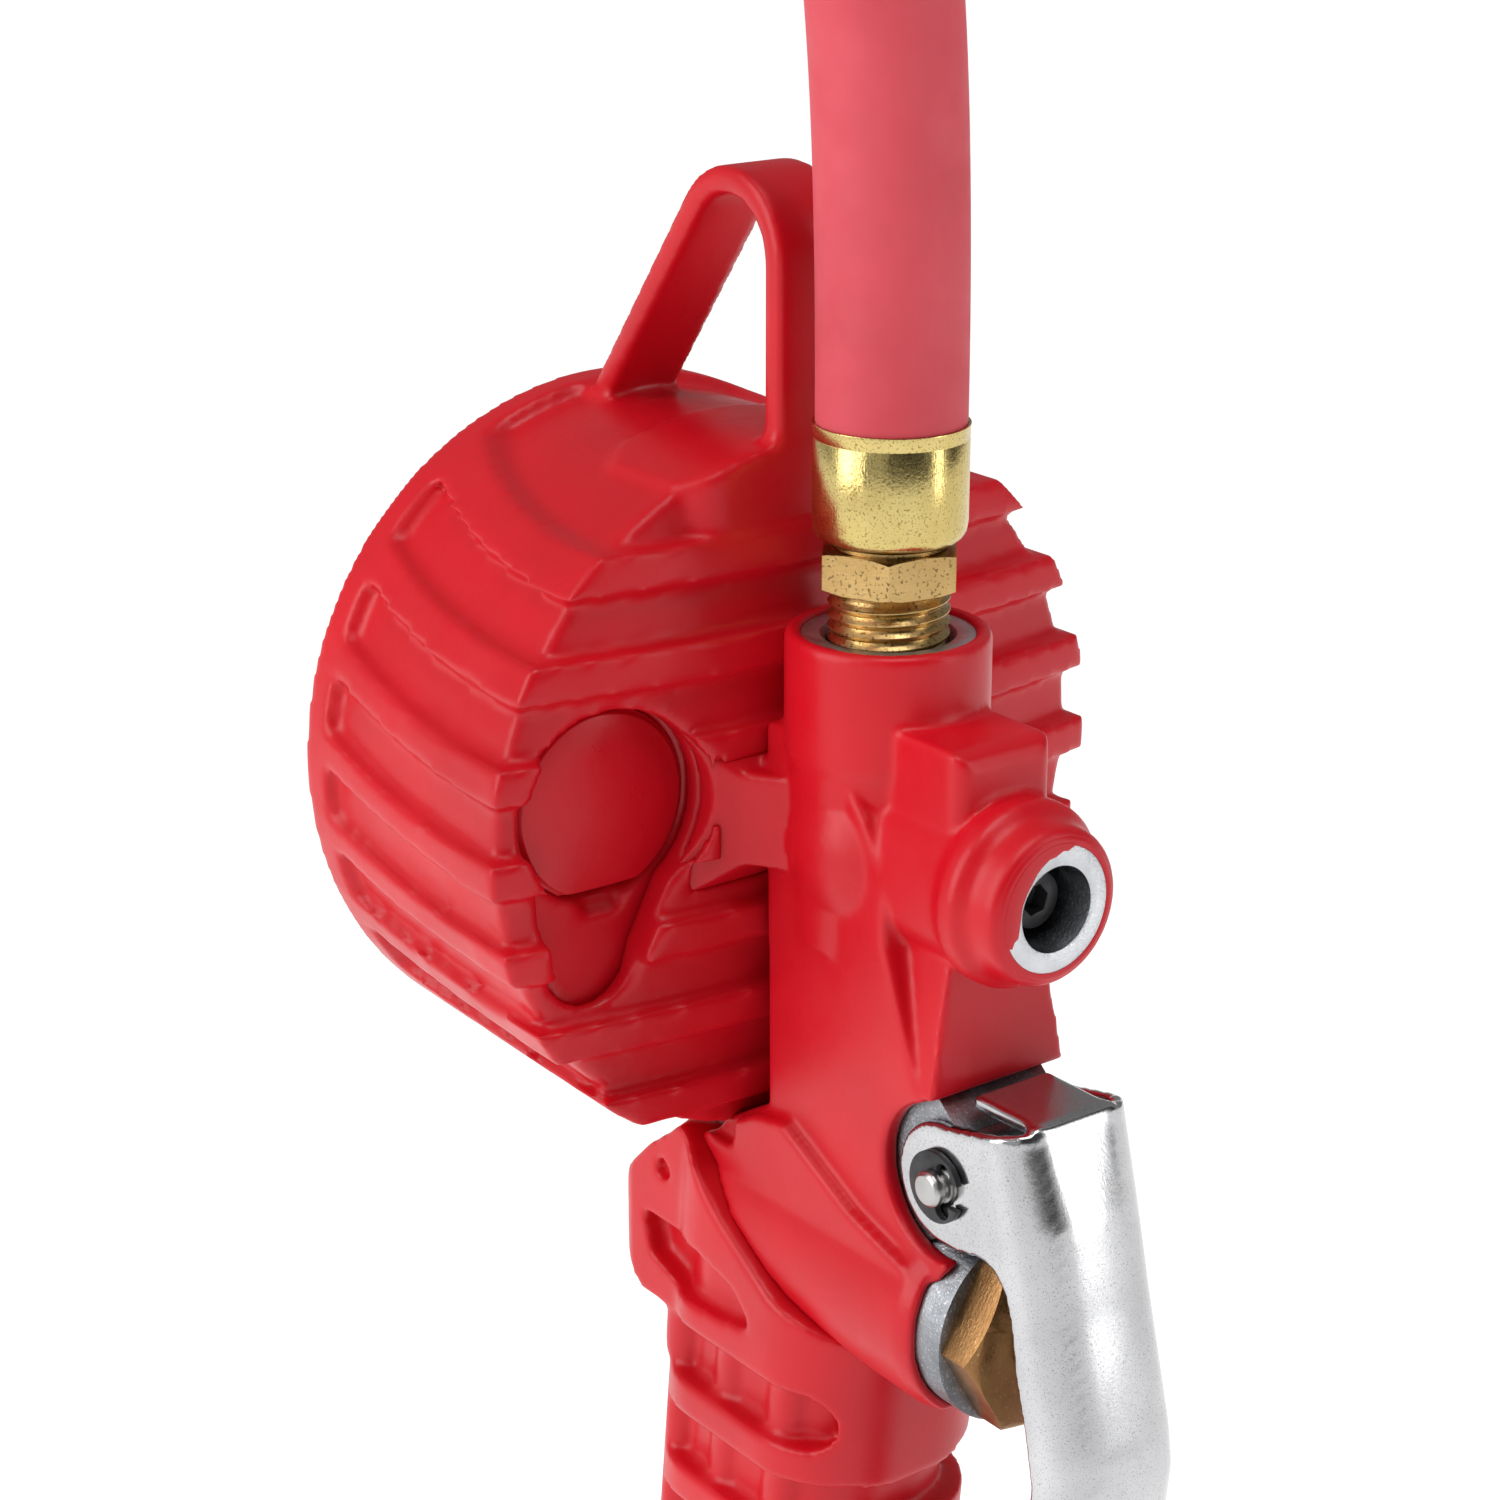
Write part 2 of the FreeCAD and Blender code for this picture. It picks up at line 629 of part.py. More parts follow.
def gauge_pieces():
    floor_y = housing_y1 - housing_wall - 2.4
    shell = rod(housing_r, housing_y1 - housing_y0, gauge_at(housing_y0), FORWARD)
    shell = shell.cut(rod(housing_r - housing_wall, floor_y - housing_y0, gauge_at(housing_y0), FORWARD))
    door_seat_y = door_y - door_thick
    cell_seat_y = door_seat_y - cell_thick - 0.6
    well = ring(cell_r + 2.2, cell_r + 0.4, floor_y - cell_seat_y + 1,
                gauge_at(cell_seat_y - 1, window_x, window_z), FORWARD)
    well_floor = rod(cell_r + 2.2, 1.0, gauge_at(cell_seat_y - 1, window_x, window_z), FORWARD)
    inside = rod(housing_r - 0.4, housing_y1 - housing_y0, gauge_at(housing_y0), FORWARD)
    shell = fuse(shell, well.common(inside), well_floor.common(inside))
    stem_z = boss_z - boot_z
    shell = cut(
        shell,
        rod(cell_r + 0.4, door_y - cell_seat_y, gauge_at(cell_seat_y, window_x, window_z), FORWARD),
        rod(door_r + 0.05, door_thick + 1, gauge_at(door_seat_y, window_x, window_z), FORWARD),
        block(window_x - 2.6, window_x + 2.6, door_y - 1.2, door_y + 1,
              boot_z + window_z - door_r - 1.9, boot_z + window_z - door_r + 2.4),
        rod(sensor_r - 1.5 + fit_gap, 20, gauge_at(floor_y - 5, 0, stem_z), FORWARD),
    )
    door = fuse(rod(door_r, door_thick, gauge_at(door_seat_y, window_x, window_z), FORWARD),
                turned([(0, 0), (door_r - 0.2, 0), (door_r - 0.6, 0.5), (door_r * 0.6, 1.0), (2.0, 1.2),
                        (0, 1.2)],
                       gauge_at(door_y, window_x, window_z), FORWARD))
    door = door.cut(block(-60, 60, door_y - 3, door_y + 3, boot_z + window_z - door_r - 4,
                          boot_z + window_z - door_r + 1.5))
    cell = turned([(0, 0), (cell_r - 1.4, 0), (cell_r - 0.6, 0.6), (cell_r, 0.7), (cell_r, cell_thick),
                   (0, cell_thick)], gauge_at(cell_seat_y + 0.4, window_x, window_z), FORWARD)
    contact = block(window_x - 2.0, window_x + 2.0, cell_seat_y, cell_seat_y + 0.35,
                    boot_z + window_z - 6, boot_z + window_z + 6)
    sensor = fuse(hex_bar(11.0, sensor_length - 3, gauge_at(floor_y - sensor_length + 3, 0, stem_z),
                          FORWARD, 30),
                  rod(sensor_r - 1.5, housing_y1 - floor_y, gauge_at(floor_y, 0, stem_z), FORWARD),
                  rod(3.2, 3.0, gauge_at(floor_y - sensor_length, 0, stem_z), FORWARD))
    sensor = sensor.cut(bolt_run(bolt_shank_r + fit_gap, floor_y - 2.4, 0))
    bezel_y = housing_y0 - bezel_depth
    rim_r = boot_lip_r - 0.2
    bezel = fuse(rod(housing_r, bezel_depth, gauge_at(bezel_y), FORWARD),
                 turned([(0, 0), (rim_r - 1.2, 0), (rim_r, 1.2), (rim_r, boot_lip_depth + 1),
                         (0, boot_lip_depth + 1)],
                        gauge_at(bezel_y - boot_lip_depth - 0.6), FORWARD))
    face_y = bezel_y - boot_lip_depth - 0.6
    lens_y = face_y + 0.8
    bezel = cut(bezel,
                rod(lens_r - 1.5, 20, gauge_at(face_y - 1), FORWARD),
                rod(lens_r + fit_gap, lens_thick + 0.8, gauge_at(face_y), FORWARD),
                rod(housing_r - housing_wall, 10, gauge_at(bezel_y + 2.0), FORWARD))
    panel = fuse(rod(lens_r - 1.7, 1.6, gauge_at(lens_y + lens_thick + fit_gap), FORWARD))
    panel = panel.cut(block(-lcd_half_x + 1, lcd_half_x - 1, -80, 0, boot_z + lcd_rise - lcd_half_z + 1,
                            boot_z + lcd_rise + lcd_half_z - 1))
    lens = rod(lens_r, lens_thick, gauge_at(lens_y), FORWARD)
    button_z = -button_drop
    buttons = {}
    for name, x in (("power_button", -button_spread / 2), ("units_button", button_spread / 2)):
        hole = rod(button_r + running_gap, 12, gauge_at(face_y - 2, x, button_z), FORWARD)
        lens = lens.cut(hole)
        panel = panel.cut(hole)
        cap = turned([(0, 0), (button_r - 0.5, 0), (button_r, 0.5), (button_r, 2.6), (0, 2.6)],
                     gauge_at(lens_y - 1.3, x, button_z), FORWARD)
        foot = rod(button_r - 1.2, 3.4, gauge_at(lens_y - 1.3 + 2.6, x, button_z), FORWARD)
        buttons[name] = fuse(cap, foot)
    lcd_y = lens_y + lens_thick + fit_gap + 1.6 + fit_gap
    lcd = block(-lcd_half_x, lcd_half_x, lcd_y, lcd_y + lcd_thick, boot_z + lcd_rise - lcd_half_z,
                boot_z + lcd_rise + lcd_half_z)
    board_y = lens_y + lens_thick + board_gap
    board = rod(housing_r - housing_wall - board_rim_gap, board_thick, gauge_at(board_y), FORWARD)
    chips = [block(-6, 6, board_y + board_thick, board_y + board_thick + 1.4, boot_z + 8, boot_z + 16),
             block(-14, -9, board_y + board_thick, board_y + board_thick + 1.2, boot_z - 14, boot_z - 9)]
    board = fuse(board, *chips)
    pieces = {
        "gauge_housing": shell, "battery_door": door, "coin_cell": cell, "battery_contact": contact,
        "pressure_sensor": sensor, "gauge_bezel": bezel, "gauge_lens": lens, "gauge_dial_plate": panel,
        "lcd_panel": lcd, "circuit_board": board,
    }
    pieces.update(buttons)
    return pieces


def gauge_bolt():
    head = rod(bolt_head_r, bolt_head_h, V(0, bolt_seat_y + 0.8, boss_z), FORWARD)
    key = hex_bar(bolt_key_af, 2.2, V(0, bolt_seat_y + 0.8 + bolt_head_h - 2.0, boss_z), FORWARD, 12)
    tip_y = housing_y1 - housing_wall - 2.4 - 2.2
    shank = bolt_run(bolt_shank_r, tip_y, bolt_seat_y + 0.8)
    return fuse(head, shank).cut(key)


def bolt_washer():
    return ring(bolt_recess_r - 0.15, bolt_shank_r + running_gap, 0.8, V(0, bolt_seat_y, boss_z), FORWARD)


# ---------------------------------------------------------------- lever, pin and clips
# the lever's front face from top to foot, as (y, z)
lever_face = [(32.0, lever_top), (37.0, -65.0), (40.9, -79.5), (41.6, -84.0), (40.9, -91.0),
              (33.0, -134.0), (33.6, -141.0)]
# the side plates' rear edge, from under the ear down to the foot
lever_rear = [(24.0, -60.9), (27.0, -60.2), (29.4, -60.6), (31.2, -62.4), (32.3, -65.4),
              (33.3, -71.2), (35.0, -77.2), (36.2, -83.0), (35.8, -90.0), (28.0, -134.0), (28.8, -141.0)]


def run_on(start, end, over):
    """The line's end, carried on until it is higher or lower by the given amount."""
    share = over / abs(end[1] - start[1])
    return (end[0] + (end[0] - start[0]) * share, end[1] + (end[1] - start[1]) * share)


def channel_solid(inset, over):
    """The lever's filled channel: a rounded front drawn down its face."""
    sections = []
    corner = lever_corner_r - inset
    half = lever_half_x - inset
    spread = corner * (1 - math.sqrt(0.5))
    face = [run_on(lever_face[1], lever_face[0], over)] + lever_face[1:-1]
    face.append(run_on(lever_face[-2], lever_face[-1], over))
    for y, z in face:
        front = y - inset
        edges = [Part.makeLine(V(-half, 0, z), V(-half, front - corner, z)),
                 Part.Arc(V(-half, front - corner, z), V(-half + spread, front - spread, z),
                          V(-half + corner, front, z)).toShape(),
                 Part.makeLine(V(-half + corner, front, z), V(half - corner, front, z)),
                 Part.Arc(V(half - corner, front, z), V(half - spread, front - spread, z),
                          V(half, front - corner, z)).toShape(),
                 Part.makeLine(V(half, front - corner, z), V(half, 0, z)),
                 Part.makeLine(V(half, 0, z), V(-half, 0, z))]
        sections.append(Part.Wire(edges))
    return Part.makeLoft(sections, True, True)


def lever():
    ear_top = pin_z + ear_r
    shadow = side_plate([(pin_y, ear_top), (lever_cheek_front, lever_cheek_top), (60, lever_cheek_top),
                         (60, -150), (lever_rear[-1][0], -150)] + lever_rear[::-1] +
                        [(pin_y, pin_z - ear_r)],
                        -lever_half_x, lever_half_x)
    crown = block(-lever_half_x + 3.4, lever_half_x - 3.4, 30.0, 60, ear_top - 1, lever_top + 1)
    ears = [rod(ear_r, lever_sheet, V(x, pin_y, pin_z), SIDE)
            for x in (-lever_half_x, lever_half_x - lever_sheet)]
    channel = channel_solid(0, 0).cut(channel_solid(lever_sheet, 5)).common(fuse(shadow, crown))
    flap = block(-lever_flap_half_x, lever_flap_half_x, lever_flap_back, lever_face[0][0] - 0.4,
                 lever_top - lever_sheet, lever_top)
    hole = rod(pin_r + running_gap, 40, V(-20, pin_y, pin_z), SIDE)
    return cut(fuse(channel, flap, *ears), hole)


clip_x = lever_half_x + 0.1


def lever_pin():
    pin = turned([(0, 0), (pin_r - 0.4, 0), (pin_r, 0.4), (pin_r, 2 * pin_half_length - 0.4),
                  (pin_r - 0.4, 2 * pin_half_length), (0, 2 * pin_half_length)],
                 V(-pin_half_length, pin_y, pin_z), SIDE)
    grooves = []
    for x in (clip_x, -clip_x - clip_thick):
        grooves.append(ring(pin_r + 1, pin_r - 0.5, clip_thick, V(x, pin_y, pin_z), SIDE))
    return cut(pin, *grooves)


def e_clips():
    clips = []
    for x in (clip_x + fit_gap, -clip_x - clip_thick + fit_gap):
        thick = clip_thick - 2 * fit_gap
        plate = ring(clip_r, pin_r - 0.5 + fit_gap, thick, V(x, pin_y, pin_z), SIDE)
        mouth = block(x - 1, x + 2, pin_y + 0.6, pin_y + 9, pin_z - 1.45, pin_z + 1.45)
        pockets = [rod(1.1, thick + 2, V(x - 1, pin_y - 1.6 + 3.0 * k, pin_z + s * (2.6 - k * 0.5)), SIDE)
                   for k in (0, 1) for s in (-1, 1)]
        throat = rod(pin_r - 0.5 + fit_gap, thick + 2, V(x - 1, pin_y, pin_z), SIDE)
        clips.append(cut(plate, mouth, throat, *pockets[2:]))
    return Part.makeCompound([max(c.Solids, key=lambda s: s.Volume) for c in clips])


# ---------------------------------------------------------------- valve
shank_back = flange_front - valve_shank_length
stem_gland_y = shank_back + 4.0


def valve_pieces():
    hexagon = chamfered_hex(valve_hex_af, valve_hex_h, V(0, flange_front, valve_z), FORWARD, 0)
    shank = rod(valve_shank_r, valve_shank_length, V(0, shank_back, valve_z), FORWARD)
    guide = rod(stem_r + 2.6, 1.4, V(0, flange_front + valve_hex_h, valve_z), FORWARD)
    body = fuse(hexagon, shank, guide)
    body = cut(body,
               rod(stem_r + running_gap, 60, V(0, 0, valve_z), FORWARD),
               ring(valve_shank_r + 1, valve_shank_r - 2.0, 2.2, V(0, shank_back + 1.2, valve_z), FORWARD),
               ring(stem_r + 1.6, stem_r, 1.6, V(0, stem_gland_y, valve_z), FORWARD),
               rod(stem_r + 1.4, 3.0, V(0, shank_back, valve_z), FORWARD),
               rod(1.2, 8, V(0, shank_back + 1.5, valve_z), UP))
    o_ring = Part.makeTorus(valve_shank_r - 1.0, 0.95, V(0, shank_back + 2.3, valve_z), FORWARD)
    gland = Part.makeTorus(stem_r + 0.8, 0.74, V(0, stem_gland_y + 0.8, valve_z), FORWARD)
    head_y = shank_back - seat_seal_thick - stem_head_h
    stem = fuse(rod(stem_r, stem_tip - 0.8 - head_y, V(0, head_y, valve_z), FORWARD),
                turned([(0, 0), (stem_r, 0), (stem_r - 0.7, 0.8), (0, 0.8)],
                       V(0, stem_tip - 0.8, valve_z), FORWARD),
                rod(stem_head_r, stem_head_h, V(0, head_y, valve_z), FORWARD),
                rod(stem_r - 0.3, 3.0, V(0, head_y - 3.0, valve_z), FORWARD))
    seal = ring(stem_head_r, stem_r + fit_gap, seat_seal_thick - 0.02,
                V(0, shank_back - seat_seal_thick, valve_z), FORWARD)
    spring_y0 = chamber_back + spring_wire_r + 0.02
    spring_y1 = head_y - spring_wire_r - 0.02
    helix = Part.makeHelix((spring_y1 - spring_y0) / spring_turns, spring_y1 - spring_y0, spring_coil_r)
    circle = Part.Wire(Part.Circle(V(spring_coil_r, 0, 0), FORWARD, spring_wire_r).toShape())
    spring = Part.Wire(helix).makePipeShell([circle], True, True)
    spring.Placement = FreeCAD.Placement(V(0, spring_y0, valve_z), FreeCAD.Rotation(UP, FORWARD))
    return {"valve_body": body, "valve_o_ring": o_ring, "stem_gland_ring": gland, "valve_stem": stem,
            "valve_seat_seal": seal, "valve_spring": spring}


# ---------------------------------------------------------------- air inlet at the foot of the handle
def inlet_pieces():
    foot = -handle_length
    gasket = ring(inlet_hex_af / 2 - 0.6, port_thread_r + fit_gap, inlet_gasket_thick,
                  V(0, 0, foot - inlet_gasket_thick))
    hex_top = foot - inlet_gasket_thick
    fitting = fuse(hex_bar(inlet_hex_af, inlet_hex_h, V(0, 0, hex_top - inlet_hex_h)),
                   rod(port_thread_r, inlet_shank_length + inlet_gasket_thick, V(0, 0, hex_top)))
    mouth = hex_top - inlet_hex_h
    bore_top = mouth + inlet_bore_depth
    fitting = cut(fitting, rod(inlet_bore_r, inlet_bore_depth, V(0, 0, mouth)),
                  rod(strainer_r + fit_gap, strainer_depth, V(0, 0, bore_top)),
                  rod(insert_bore_r, 40, V(0, 0, hex_top - 20)))
    rim = strainer_r
    strainer = turned([(0, 4.4), (1.2, 4.4), (3.0, 0.6), (rim, 0.6), (rim, 0), (2.4, 0), (0.8, 3.4),
                       (0, 3.4)], V(0, 0, bore_top + 0.2))
    return {"inlet_fitting": leaned(fitting), "inlet_gasket": leaned(gasket),
            "inlet_strainer": leaned(strainer)}


# ---------------------------------------------------------------- hose and its fittings
def bent_path(points):
    """Straight runs joined by tangent arcs as large as the runs allow."""
    spots = [V(*p) for p in points]
    edges = []
    start = spots[0]
    for before, here, after in zip(spots, spots[1:], spots[2:]):
        into = (here - before)
        out = (after - here)
        turn = into.getAngle(out)
        reach = 0.45 * min(into.Length, out.Length)
        radius = reach / math.tan(turn / 2)
        into.normalize()
        out.normalize()
        first = here - into * reach
        last = here + out * reach
        inward = (out - into).normalize()
        sagitta = radius / math.cos(turn / 2) - radius
        middle = here + inward * sagitta
        edges.append(Part.LineSegment(start, first).toShape())
        edges.append(Part.Arc(first, middle, last).toShape())
        start = last
        print(f"hose bend radius {radius:.0f} mm")
    edges.append(Part.LineSegment(start, spots[-1]).toShape())
    return Part.Wire(edges)


def hose_pieces():
    path = bent_path(hose_route)
    first = V(*hose_route[0])
    toward = (V(*hose_route[1]) - first).normalize()
    section = Part.Wire(Part.Circle(first, toward, hose_r).toShape())
    tube = path.makePipeShell([section], True, True)
    expected = math.pi * hose_r ** 2 * path.Length
    print(f"hose length {path.Length:.1f} mm, volume {tube.Volume:.0f} against {expected:.0f} mm3")
    tail = ring(ferrule_r - ferrule_wall - fit_gap, barb_r + fit_gap, ferrule_length - 1.0,
                V(0, 0, ferrule_z + 1.0))
    neck_z = insert_hex_z + insert_hex_h
    insert = fuse(rod(port_thread_r, port_thread_depth + insert_hex_z - 1.0,
                      V(0, 0, -port_thread_depth + 1.0)),
                  hex_bar(insert_hex_af, insert_hex_h, V(0, 0, insert_hex_z), UP, 60 - 45),
                  rod(barb_r, ferrule_length - 1.4, V(0, 0, neck_z)),
                  rod(barb_r + 1.6, ferrule_z - neck_z, V(0, 0, neck_z)))
    insert = insert.cut(rod(insert_bore_r, 80, V(0, 0, -30)))
    cup = ring(ferrule_r, ferrule_r - ferrule_wall, ferrule_length, V(0, 0, ferrule_z))
    cup_floor = ring(ferrule_r, barb_r + fit_gap, 0.9, V(0, 0, ferrule_z))
    ferrule = fuse(cup, cup_floor)
    return tube, tail, {"hose_insert": insert, "hose_ferrule": ferrule}


def chuck_pieces():
    """The clip-on chuck hangs mouth down from the hose's end."""
    end = V(*hose_route[-1])
    down = (end - V(*hose_route[-2])).normalize()
    place = FreeCAD.Placement(end, FreeCAD.Rotation(V(0, 0, -1), down))

    def hung(shape):
        shape = shape.copy()
        shape.Placement = place.multiply(shape.Placement)
        return shape
    cup_h = ferrule_length
    ferrule = fuse(ring(ferrule_r, ferrule_r - ferrule_wall, cup_h, V(0, 0, -cup_h)),
                   ring(ferrule_r, barb_r + fit_gap, 0.9, V(0, 0, -cup_h)))
    tail = ring(ferrule_r - ferrule_wall - fit_gap, barb_r + fit_gap, cup_h - 1.0, V(0, 0, -cup_h + 1.0))
    top = -cup_h
    nose_top = top - chuck_length + chuck_nose_length
    foot = top - chuck_length
    body = fuse(rod(barb_r, cup_h - 1.4, V(0, 0, top)),
                turned([(0, nose_top), (chuck_r, nose_top), (chuck_r, top - 1.0), (chuck_r - 1, top),
                        (0, top)], V(0, 0, 0)),
                turned([(0, foot), (chuck_nose_r - 1.2, foot), (chuck_nose_r, foot + 1.2),
                        (chuck_nose_r, nose_top - 1.0), (chuck_r, nose_top), (0, nose_top)], V(0, 0, 0)))
    pivot_z = top - chuck_pivot_down
    seal_z = foot + valve_socket_depth
    arms = block(chuck_r - 3, chuck_pivot_out + 2.4, -chuck_clip_half_x - 2.2, chuck_clip_half_x + 2.2,
                 pivot_z - 3.2, pivot_z + 3.2)
    body = fuse(body, arms)
    clip_gap = 0.25
    body = cut(body,
               rod(valve_socket_r, valve_socket_depth, V(0, 0, foot)),
               rod(chuck_seal_r + fit_gap, chuck_seal_thick, V(0, 0, seal_z)),
               rod(2.6, 70, V(0, 0, foot)),
               block(0, 40, -chuck_clip_half_x - clip_gap, chuck_clip_half_x + clip_gap,
                     pivot_z - 4, pivot_z + 4).cut(rod(chuck_r, 60, V(0, 0, top - 40))),
               block(2, 40, -chuck_clip_nose_half - clip_gap, chuck_clip_nose_half + clip_gap,
                     foot - 1, foot + 6.2),
               rod(chuck_clip_pin_r + fit_gap, 30, V(chuck_pivot_out, -15, pivot_z), FORWARD))
    seal = ring(chuck_seal_r, 2.2, chuck_seal_thick, V(0, 0, seal_z))
    depressor = fuse(rod(1.0, 6.0, V(0, 0, seal_z + 0.6)),
                     rod(2.5, 1.4, V(0, 0, seal_z + chuck_seal_thick + 0.4)))
    thumb = [(valve_socket_r + 0.15, foot + 2.0), (valve_socket_r + 0.15, foot + 5.6),
             (8.9, foot + 5.6), (9.2, pivot_z - 1.4), (9.0, pivot_z + 1.6), (15.5, pivot_z + 17.0),
             (17.3, pivot_z + 16.4), (12.6, pivot_z + 2.0), (12.4, pivot_z - 1.8),
             (10.9, foot + 3.6), (9.9, foot + 2.0)]
    outline = [V(x, -chuck_clip_half_x, z) for x, z in thumb]
    clip = Part.Face(Part.makePolygon(outline + outline[:1])).extrude(V(0, 2 * chuck_clip_half_x, 0))
    nose_sides = [block(0, chuck_nose_r + 0.3, side[0], side[1], foot, foot + 8)
                  for side in ((-20, -chuck_clip_nose_half), (chuck_clip_nose_half, 20))]
    clip = cut(clip, rod(chuck_clip_pin_r + running_gap, 30, V(chuck_pivot_out, -15, pivot_z), FORWARD),
               rod(valve_socket_r + 0.15, 60, V(0, 0, foot - 10)), *nose_sides)
    pin = rod(chuck_clip_pin_r, 2 * chuck_clip_half_x + 4.0,
              V(chuck_pivot_out, -chuck_clip_half_x - 2.0, pivot_z), FORWARD)
    pieces = {"chuck_ferrule": ferrule, "chuck_body": body, "chuck_seal": seal,
              "chuck_depressor": depressor, "chuck_clip": clip, "chuck_clip_pin": pin}
    return hung(tail), {name: hung(shape) for name, shape in pieces.items()}


# ---------------------------------------------------------------- build and write
body = casting()
save("body_casting", body)
skin = jacket(body)
save("body_jacket", skin)
save("grip_sleeve", sleeve(body, skin))
save("gauge_boot", boot(body, skin))
for node, shape in gauge_pieces().items():
    save(node, shape)
save("gauge_bolt", gauge_bolt())
save("bolt_washer", bolt_washer())
save("lever", lever())
save("lever_pin", lever_pin())
save("e_clips", e_clips())
for node, shape in valve_pieces().items():
    save(node, shape)
for node, shape in inlet_pieces().items():
    save(node, shape)
tube, near_tail, fittings = hose_pieces()
far_tail, chuck = chuck_pieces()
save("hose", fuse(tube, near_tail, far_tail))
for node, shape in fittings.items():
    save(node, shape)
for node, shape in chuck.items():
    save(node, shape)
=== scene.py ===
import math

import bmesh
import bpy
from mathutils import Matrix, Vector


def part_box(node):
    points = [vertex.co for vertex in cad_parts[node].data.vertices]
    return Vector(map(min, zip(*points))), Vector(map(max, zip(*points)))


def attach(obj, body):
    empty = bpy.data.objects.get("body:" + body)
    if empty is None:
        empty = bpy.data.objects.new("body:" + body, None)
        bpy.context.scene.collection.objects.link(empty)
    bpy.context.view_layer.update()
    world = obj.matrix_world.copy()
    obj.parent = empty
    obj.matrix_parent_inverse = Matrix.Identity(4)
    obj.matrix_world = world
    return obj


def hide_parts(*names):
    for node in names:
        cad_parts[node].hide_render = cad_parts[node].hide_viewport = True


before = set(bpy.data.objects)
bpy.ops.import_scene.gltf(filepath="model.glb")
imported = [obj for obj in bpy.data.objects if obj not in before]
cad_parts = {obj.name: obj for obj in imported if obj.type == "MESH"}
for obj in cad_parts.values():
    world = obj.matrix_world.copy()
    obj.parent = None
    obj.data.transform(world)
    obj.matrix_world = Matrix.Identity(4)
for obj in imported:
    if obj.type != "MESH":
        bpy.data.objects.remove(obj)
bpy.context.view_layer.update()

MM = 0.001
# the hose port's rim, from the frame's origin in the hanging loop
PORT = Vector((0.0, 0.0223, -0.044))


def at(x, y, z):
    """A place given in millimetres from the hose port's rim."""
    return PORT + Vector((x, y, z)) * MM


# ------------------------------------------------------------------ camera and light
CAMERA_AZIMUTH = 143.1      # degrees
CAMERA_ELEVATION = 19.4
CAMERA_AWAY = 335.0         # from the hose port's rim, mm
CAMERA_RIGHT = -14.72
CAMERA_UP = -12.55
LENS = 75.6
SENSOR = 36.0

FLOOR_HEIGHT = -0.42
FLOOR_HALF = 12.0
FLOOR_GREY = 0.35
FLOOR_GLOW = 0.95

WALL_GLOW = 0.55
BACKDROP = 0.93
# round the room from the back, as (share of a turn, brightness)
WALL_PANELS = [(0.0, 0.45), (0.16, 0.40), (0.30, 0.55), (0.36, 0.80), (0.43, 0.60), (0.49, 0.10),
               (0.53, 0.12), (0.56, 0.85), (0.61, 0.85), (0.645, 0.08), (0.79, 0.08), (0.82, 0.95),
               (0.87, 0.90), (0.89, 0.08), (0.935, 0.08), (0.96, 0.50), (1.0, 0.45)]


def add_camera():
    azimuth = math.radians(CAMERA_AZIMUTH)
    elevation = math.radians(CAMERA_ELEVATION)
    back = Vector((math.sin(azimuth) * math.cos(elevation),
                   -math.cos(azimuth) * math.cos(elevation), math.sin(elevation)))
    right = Vector((math.cos(azimuth), math.sin(azimuth), 0.0))
    up = back.cross(right)
    data = bpy.data.cameras.new("camera")
    data.sensor_width = SENSOR
    data.lens = LENS
    camera = bpy.data.objects.new("camera", data)
    spot = PORT + (back * CAMERA_AWAY + right * CAMERA_RIGHT + up * CAMERA_UP) * MM
    turn = Matrix((right, up, back)).transposed().to_4x4()
    camera.matrix_world = Matrix.Translation(spot) @ turn
    bpy.context.collection.objects.link(camera)
    bpy.context.scene.camera = camera


def add_light(name, place, target, size, watts):
    data = bpy.data.lights.new(name, "AREA")
    data.shape = "RECTANGLE"
    data.size, data.size_y = size
    data.energy = watts
    light = bpy.data.objects.new(name, data)
    light.location = place
    light.rotation_euler = (Vector(place) - Vector(target)).to_track_quat("Z", "Y").to_euler()
    bpy.context.collection.objects.link(light)


def add_stage():
    mesh = bpy.data.meshes.new("floor")
    bm = bmesh.new()
    bmesh.ops.create_grid(bm, x_segments=2, y_segments=2, size=FLOOR_HALF,
                          matrix=Matrix.Translation((0, 0, FLOOR_HEIGHT)))
    bm.to_mesh(mesh)
    bm.free()
    floor = bpy.data.objects.new("floor", mesh)
    bpy.context.collection.objects.link(floor)
    pale = bpy.data.materials.new("pale floor")
    pale.use_nodes = True
    shader = pale.node_tree.nodes["Principled BSDF"]
    shader.inputs["Base Color"].default_value = (FLOOR_GREY, FLOOR_GREY, FLOOR_GREY, 1)
    shader.inputs["Roughness"].default_value = 0.9
    shader.inputs["Emission Color"].default_value = (1, 1, 1, 1)
    shader.inputs["Emission Strength"].default_value = FLOOR_GLOW
    mesh.materials.append(pale)


